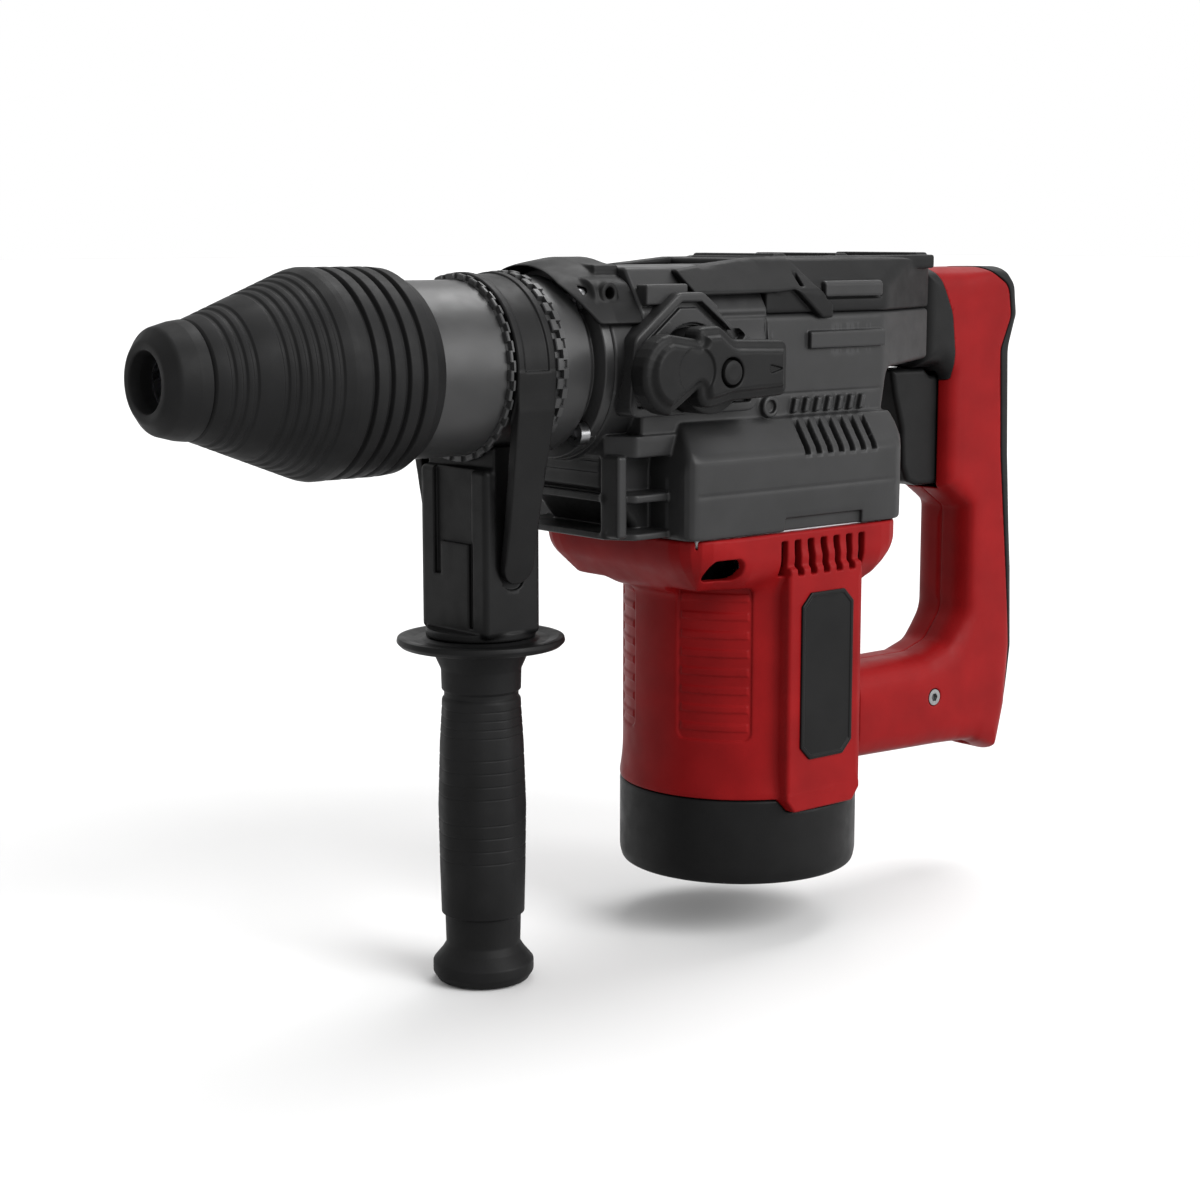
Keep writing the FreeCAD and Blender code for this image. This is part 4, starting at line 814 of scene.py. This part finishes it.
def make_motor_shell():
    """The red motor tube: bell, ribbed finger zones, side panels, tongues and vents."""
    low, high = node_box("motor_housing")
    seam = high[2]
    base = node_box("motor_end_cap")[1][2]
    x0, x1, half = low[0], high[0], 46.5
    block = Block((x0, low[1], low[2]), (x1, high[1], seam), 0.5)
    x, y, z = (block.at[name] for name in "xyz")
    around = np.sqrt(x ** 2 + y ** 2)
    flare = 46.3 + 1.2 * np.clip((50 - z) / 14, 0, 1) ** 2
    tube = block.cap(around - flare, z, base, seam - 10, 0.5)
    bell_plan = rounded([(x0, -half, 15), (x1, -half, 15), (x1, half, 15), (x0, half, 15)], 15)
    bell = block.cap(block.outline("z", bell_plan), z, seam - 24, seam - 0.4, 0.8)
    chamfer = 9 + 6 * np.clip((-x - 38) / 12, 0, 1) + 4 * np.clip((x - 32) / 10, 0, 1)
    under = (seam - 24) - z + (block.outline("z", bell_plan) + chamfer)
    bell = meet(bell, under * 0.7071, blend=4)
    panel = block.brick((-20, -high[1], base), (20, high[1], seam - 14), 1.5)
    shell = union(tube, bell, blend=5)
    shell = union(shell, panel, blend=1.6)
    shell = cut(shell, finger_zone(block, around), blend=1.2)
    shell = union(shell, finger_ridges(block, around), blend=0.8)
    tongue = rounded([(-20, base + 3), (20, base + 3), (20, base), (16, base - 5, 1.5),
                      (-16, base - 5, 1.5), (-20, base)], 0.5)
    shell = union(shell, block.prism("s", tongue, 40, high[1], 1.0), blend=0.3)
    shell = cut(shell, corner_slot(block), blend=0.8)
    for k in VENTS:
        left, right = -22.6 + 7 * k, -19.4 + 7 * k
        vent = block.brick((left, -50, 121), (right, -38, 134.4), 0.5)
        blind = block.brick((left, 44, 121), (right, 50, 134.4), 0.5)
        shell = cut(shell, vent, blind, blend=0.6)
    rooms = union(block.brick((x0 + 4, -42.5, seam - 13), (x1 - 4, 42.5, seam + 4)),
                  block.brick((x0 + 13, -41, seam - 20), (x1 - 6, 41, seam - 10)))
    rooms = meet(rooms, under * 0.7071 + 4)
    shell = cut(shell, block.disc("z", (0, 0), 42.2, base - 8, seam - 18), rooms)
    block.skin(shell, "motor_shell", "housing", "red_plastic", ["motor_housing"])


def zone_angle(block):
    """Angle in degrees from the side's outward direction towards the nose."""
    return np.degrees(np.arctan2(-block.at["x"], block.at["s"]))


def finger_zone(block, around):
    """A shallow recess on each front quarter of the tube."""
    turn = zone_angle(block)
    z = block.at["z"]
    wide = (np.abs(turn - 56) - 18) * 0.8
    tall = np.abs(z - 87) - 30
    plan = np.sqrt(np.maximum(wide + 3, 0) ** 2 + np.maximum(tall + 3, 0) ** 2)
    plan = plan + np.minimum(np.maximum(wide + 3, tall + 3), 0) - 3
    return np.maximum(plan, 45.7 - around)


def finger_ridges(block, around):
    """Eight low ridges across each finger zone."""
    turn = zone_angle(block)
    wide = (np.abs(turn - 56) - 16.5) * 0.8
    pitch = 7.2
    wave = np.abs((block.at["z"] - 87) / pitch - np.round((block.at["z"] - 87) / pitch - 0.5) - 0.5) * pitch
    band = np.maximum(wave - 1.3, np.abs(block.at["z"] - 87) - 28.5)
    return np.maximum(np.maximum(around - 46.1, 44 - around), np.maximum(band, wide))


def corner_slot(block):
    """An oblong hole in the bell beside its front corners, blind on the side away from the knob."""
    flat = np.abs(block.at["x"] + 49.5) - 8
    tall = np.abs(block.at["z"] - 125.5) - 4.2
    plan = np.sqrt(np.maximum(flat + 3.5, 0) ** 2 + np.maximum(tall + 3.5, 0) ** 2)
    plan = plan + np.minimum(np.maximum(flat + 3.5, tall + 3.5), 0) - 3.5
    depth = np.where(block.at["y"] < 0, 30.0, 43.5)
    return np.maximum(plan, depth - block.at["s"])


def make_end_cap():
    """The black cap that the tool stands on, notched for the tongues."""
    low, high = node_box("motor_end_cap")
    radius = high[0]
    block = Block(low, high, 0.5)
    x, y, z = (block.at[name] for name in "xyz")
    around = np.sqrt(x ** 2 + y ** 2)
    wall = radius - 0.035 * np.maximum(6 - z, 0) ** 2
    cap = block.cap(around - wall, z, 0, high[2] - 0.3, 1.2)
    cap = cut(cap, block.cap(around - (radius - 3.5), z, 5, high[2] + 5, 0))
    for fx in (-28, 28):
        for fy in (-28, 28):
            cap = union(cap, block.disc("z", (fx, fy), 5.5, 3, high[2] - 0.4))
            cap = cut(cap, block.disc("z", (fx, fy), 2.7, -2, high[2] + 2))
            cap = cut(cap, block.disc("z", (fx, fy), 4.4, -2, 6), blend=0.5)
    seat = cut(block.disc("z", (0, 0), 14.5, 2, 14), block.disc("z", (0, 0), 11.1, 6, 20))
    cap = union(cap, seat)
    notch = rounded([(-20.4, high[2] + 2), (20.4, high[2] + 2), (20.4, high[2]), (16.3, high[2] - 5.2, 1.5),
                     (-16.3, high[2] - 5.2, 1.5), (-20.4, high[2])], 0.5)
    cap = cut(cap, block.prism("s", notch, 41, 50), blend=0.4)
    ring = np.maximum(np.abs(around - 36) - 0.6, z - 0.7)
    cap = cut(cap, ring, blend=0.3)
    block.skin(cap, "end_cap", "housing", "black_plastic", ["motor_end_cap"])


def make_plates():
    """The two blank plates, each with a raised rim."""
    low, high = node_box("name_plates")
    face = high[1]
    for name, side in (("plate_left", -1), ("plate_right", 1)):
        near, far = sorted((side * (face - 1.2), side * (face + 0.1)))
        block = Block((low[0], near, low[2]), (high[0], far, high[2]), 0.25)
        outline = rounded([
            (low[0], low[2] + 5), (low[0] + 5, low[2]), (high[0] - 5, low[2]), (high[0], low[2] + 5),
            (high[0], high[2] - 5), (high[0] - 5, high[2]), (low[0] + 5, high[2]),
            (low[0], high[2] - 5)], 1)
        plate = block.prism("y", outline, near, far, 0.35)
        flat = block.outline("y", outline)
        out_near, out_far = sorted((side * (face - 0.25), side * (face + 2)))
        plate = cut(plate, block.cap(flat + 1.6, block.at["y"], out_near, out_far, 0), blend=0.25)
        nodes = ["name_plates"] if side < 0 else []
        block.skin(plate, name, "housing", "plate_black", nodes)


# --- rear handle -------------------------------------------------------------------------------

# Each handle screw's x and z, and the side that its head is on.
HANDLE_SCREWS = ((100, 54, -1), (84, 54, 1), (146, 62, 1), (104, 215, 1))
BACK_LINE = [(128, 236), (143, 227, 8), (145, 214, 8), (138.5, 200, 8), (140.5, 155, 20), (146, 105, 30),
             (149.5, 70, 20), (149, 43)]
OUTER_LINE = [(144, 235, 9), (151.5, 229, 9), (153.5, 214, 9), (147.5, 200, 10), (149.5, 155, 30),
              (154, 105, 30), (155.5, 70, 20), (152, 44, 6)]


def make_handle():
    """The D handle: red shells split by a seam, and the soft black back."""
    low, high = node_box("handle_shell_left")
    front = 90
    half = -low[1]
    block = Block((low[0], -half, low[2]), (156.5, half, high[2]), 0.5)
    x, s, z = (block.at[name] for name in "xsz")
    outline = rounded(
        [(front, 194, 1), (front, 235, 1)] + OUTER_LINE + [
            (145, 23, 4), (128, 30, 8), (108, 31, 10), (40, 33, 1), (40, 72, 1), (98, 72, 10),
            (111, 76, 8), (121, 88, 10), (121, 133, 3), (106, 143, 3), (106, 190, 2), (101, 194, 2)], 3)
    flat = block.outline("y", outline)
    body = meet(flat, s - half, blend=2)
    slope = np.clip(9.5 - (x - 118) * 0.25, 3.0, 9.5) + np.clip((x - 132) * 0.45, 0, 7.5)
    bevel = (s - (half - slope * 0.55) + flat * 0.85) * 0.76
    body = meet(body, bevel, blend=5)
    waist = s - (half - 1.2 * np.clip((z - 60) / 40, 0, 1))
    body = meet(body, waist, blend=1)
    soft = block.outline("y", soft_back_outline())
    red = cut(body, soft - 0.15, blend=0.6)
    seam = np.maximum(s - 0.25, -(flat + 0.45))
    red = cut(red, seam, blend=0.4)
    collar = block.outline("y", collar_outline(front))
    red = cut(red, block.brick((104, -8.6, 142.5), (124, 8.6, 192)))
    red = cut(red, block.disc("z", (0, 0), 47.9, 30, 80), blend=0.5)
    red = cut(red, block.disc("z", (131, 0), 8.1, 20, 42))
    red = cut(red, meet(np.abs(x - 53.5) - 0.35, (half - 1.0) - s), blend=0.4)
    for sx, sz, side in HANDLE_SCREWS:
        y0, y1 = sorted((side * (half - 3.2), side * (half + 2)))
        red = cut(red, block.disc("y", (sx, sz), SCREW_HEAD, y0, y1), blend=0.7)
    red = cut(red, collar + 0.1, blend=0.3)
    block.skin(red, "handle_red", "housing", "red_plastic", ["handle_shell_left", "handle_shell_right"])
    skin_back = meet(body - 0.15, soft + 0.15, blend=0.8)
    block.skin(skin_back, "handle_soft_back", "housing", "black_rubber", ["handle_overmould"])
    collar_shape = meet(body - 0.35, collar, blend=0.8)
    collar_shape = cut(collar_shape, block.brick((95, -8.6, 142.5), (124, 8.6, 192)))
    block.skin(collar_shape, "handle_collar", "housing", "black_plastic")


def soft_back_outline():
    """Everything behind the line between the red shells and the soft back."""
    return rounded(BACK_LINE + [(170, 43), (170, 245), (128, 245)], 0)


def collar_outline(front):
    """The black part of the handle that meets the gear housing, down to the trigger."""
    return rounded([(front - 2, 188), (front - 2, 240), (front + 4, 240), (front + 10, 230, 12),
                    (front + 17, 216, 16), (front + 19, 200, 10), (front + 19, 188, 2)], 0)


def make_trigger():
    """The long rocker trigger, with a shallow finger hollow."""
    low, high = node_box("trigger")
    block = Block(low, high, 0.35)
    x0, z0, z1 = low[0], low[2], high[2]
    outline = rounded([
        (x0, z1, 1), (x0 + 2.5, z1 - 11, 8), (x0 + 7, z1 - 25, 12), (x0 + 8, z1 - 41, 8),
        (x0 + 11, z0 + 2, 3),
        (x0 + 17, z0, 2), (high[0] - 2, z0, 1), (high[0], z0 + 8, 2), (high[0], z1 - 3.2, 1),
        (x0 + 24, z1 - 3.2, 1), (x0 + 20, z1, 1)], 2)
    rocker = block.prism("y", outline, low[1], high[1], 2.2)
    block.skin(rocker, "trigger_rocker", "trigger", "black_plastic", ["trigger"])


# --- side handle -------------------------------------------------------------------------------

def make_clamp():
    """The band with its tapering straps, and the block that they hug."""
    low, high = node_box("clamp_band")
    x0, x1 = low[0], high[0]
    middle = (x0 + x1) / 2
    outer = high[1]
    inner = 31.4
    foot = low[2]
    block = Block((x0, -outer, foot), (x1, outer, high[2]), 0.35)
    x, y, z = (block.at[name] for name in "xyz")
    hoop = block.disc("x", (0, AXIS_Z), outer, x0, x1, 0.9)
    cheek = node_box("clamp_block")[1][1] - 0.5
    strap_line = rounded([
        (26, AXIS_Z), (outer, AXIS_Z), (outer - 0.4, AXIS_Z - 14, 6), (cheek + 3.9, foot + 8, 6),
        (cheek + 1.7, foot, 0.6), (cheek + 0.2, foot, 0.3), (cheek + 0.2, foot + 8),
        (29, AXIS_Z - 14)], 0.5)
    strap = block.cap(block.outline("x", strap_line), x, x0, x1, 0.6)
    strap = np.minimum(strap, strap[:, ::-1, :])
    width = np.abs(x - middle) - (6.4 + 2.1 * np.clip((z - foot - 20) / 50, 0, 1))
    strap = meet(strap, width, blend=0.6)
    tip = np.sqrt((x - middle) ** 2 + (z - foot - 6.4) ** 2) - 6.4
    strap = meet(strap, np.where(z < foot + 6.4, tip, -1e3), blend=0)
    band = union(hoop, strap, blend=0.8)
    band = cut(band, block.disc("x", (0, AXIS_Z), inner, x0 - 2, x1 + 2))
    under = [(-cheek, foot - 6), (cheek, foot - 6), (cheek, foot + 8), (28.9, AXIS_Z - 14),
             (-28.9, AXIS_Z - 14), (-cheek, foot + 8)]
    band = cut(band, block.prism("x", under, x0 - 2, x1 + 2))
    rib = meet(np.abs(x - middle) - 5.2, (outer - 0.7) - np.sqrt(y ** 2 + (z - AXIS_Z) ** 2))
    upper = meet(rib, AXIS_Z - z)
    band = cut(band, upper, blend=0.5)
    block.skin(band, "clamp_strap", "side_clamp", "black_plastic", ["clamp_band"])
    make_clamp_block(middle, foot, cheek)


def make_clamp_block(middle, strap_foot, half_y):
    """The block under the barrel, with the stepped front and the strap's side recesses."""
    low, high = node_box("clamp_block")
    half_x = 12.5
    rim = high[1]
    z0 = low[2]
    block = Block(low, high, 0.35)
    body = block.brick((middle - half_x, -half_y, z0 + 1.5), (middle + half_x, half_y, 167), 2.2)
    neck = block.brick((middle - 8.5, -half_y, 160), (middle + 8.5, half_y, high[2]), 1)
    shape = union(body, neck, blend=1.5)
    shape = union(shape, block.disc("z", (middle, 0), rim, z0, z0 + 3, 0.6), blend=0.8)
    shape = cut(shape, block.disc("x", (0, AXIS_Z), 31.4, middle - 20, middle + 20))
    recess = rounded([(middle - 7.6, 180), (middle - 7.6, strap_foot + 6, 5),
                      (middle - 3, strap_foot - 2.2, 4), (middle + 3, strap_foot - 2.2, 4),
                      (middle + 7.6, strap_foot + 6, 5), (middle + 7.6, 180)], 4)
    shape = cut(shape, block.prism("s", recess, half_y - 1.1, half_y + 3), blend=0.5)
    for side in (-1, 1):
        face = middle + side * half_x
        a, b = sorted((face - side * 1.6, face + side * 2))
        upper = block.brick((a, -11, 140), (b, 11, 172), 0.4)
        shape = cut(shape, upper, blend=0.6)
        slot = block.brick((a, -11.7, 110), (b, -9.3, 141), 0.4)
        shape = cut(shape, slot, blend=0.5)
        shape = cut(shape, block.brick((a, 7.3, 128), (b, 11, 141), 0.4), blend=0.5)
    shape = cut(shape, block.disc("z", (middle, 0), 4.1, z0 - 2, 160),
                block.disc("z", (middle, 0), 8, 150, 180))
    block.skin(shape, "clamp_block_body", "side_clamp", "black_plastic", ["clamp_block"])


def make_side_grip():
    """The guard flange and the turned grip, with its fine rings, step and pommel."""
    low, high = node_box("side_grip")
    cx = (low[0] + high[0]) / 2
    z0, z1 = low[2], high[2]
    bore = 4.1
    outer = [
        (z0, 14, 1), (z0 + 0.6, 16.8, 1.2), (z0 + 3.4, 18.6, 1.6), (z0 + 7.4, 18.6, 1.6),
        (z0 + 11.5, 15.2, 1.5),
        (z0 + 14, 13.7, 2), (z0 + 25.2, 14.0, 0.3), (z0 + 25.8, 15.3, 0.4), (z0 + 42, 15.8, 20),
        (z0 + 66, 16.2, 20), (z0 + 90, 15.4, 15), (z0 + 106, 14.4, 5), (z0 + 107, 13.6, 0.3),
        (z0 + 108.6, 13.6, 0.3),
        (z0 + 109.6, 14.5, 0.5), (z0 + 117, 14.7, 3), (z0 + 123, 17.4, 2), (z1, 19.9, 0)]
    fine = []
    for i, (z, r, own) in enumerate(outer):
        fine.append((z, r, own))
        if 8 <= i <= 10:
            nz, nr, _ = outer[i + 1]
            for k in range(1, 5):
                t = k / 5
                mid, radius = z + (nz - z) * t, r + (nr - r) * t
                fine += [(mid - 0.45, radius, 0.2), (mid, radius - 0.18, 0.2), (mid + 0.45, radius, 0.2)]
    profile = rounded([(z0, bore, 0)] + fine + [(z1, bore, 0)], 0.5, 3)

    def flats(angle, along, radius):
        gripping = (along > z0 + 27) & (along < z0 + 104) & (radius > 10)
        return np.where(gripping, radius - 0.2 * (1 - np.cos(8 * angle)), radius)

    turned("grip_handle", "z", (cx, 0), profile, "side_grip", "black_rubber", ["side_grip"], segments=144,
           wave=flats)
    flow, fhigh = node_box("grip_flange")
    f0, f1, rim = flow[2], fhigh[2], (fhigh[0] - flow[0]) / 2
    dish = rounded([
        (z1, bore, 0), (z1, 20, 1), (f0, rim - 6, 3), (f0 + 0.4, rim - 1.6, 1.2), (f0 + 2.0, rim, 1.0),
        (f1 - 0.2, rim - 0.4, 0.6), (f1 - 0.1, rim - 2.4, 0.8), (f1 - 1.0, rim - 6, 2), (f1 - 0.9, 21.5, 1),
        (f1, 20, 0.5), (f1, bore, 0)], 0.8)
    turned("guard_flange", "z", (cx, 0), dish, "side_grip", "black_plastic", ["grip_flange"])


# --- everything --------------------------------------------------------------------------------

def dress_cad():
    """Gives every CAD node that stays in view the look of its own material slot."""
    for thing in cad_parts.values():
        for holder in thing.material_slots:
            name = holder.material.name.split(".")[0] if holder.material else ""
            if name in LOOKS:
                holder.material = LOOKS[name]


make_nose()
make_rubber_sleeve()
make_barrel()
make_detent_rings()
make_gear_case()
make_hood()
make_cover()
make_bezel()
make_knob()
make_motor_shell()
make_end_cap()
make_plates()
make_handle()
make_trigger()
make_clamp()
make_side_grip()
dress_cad()
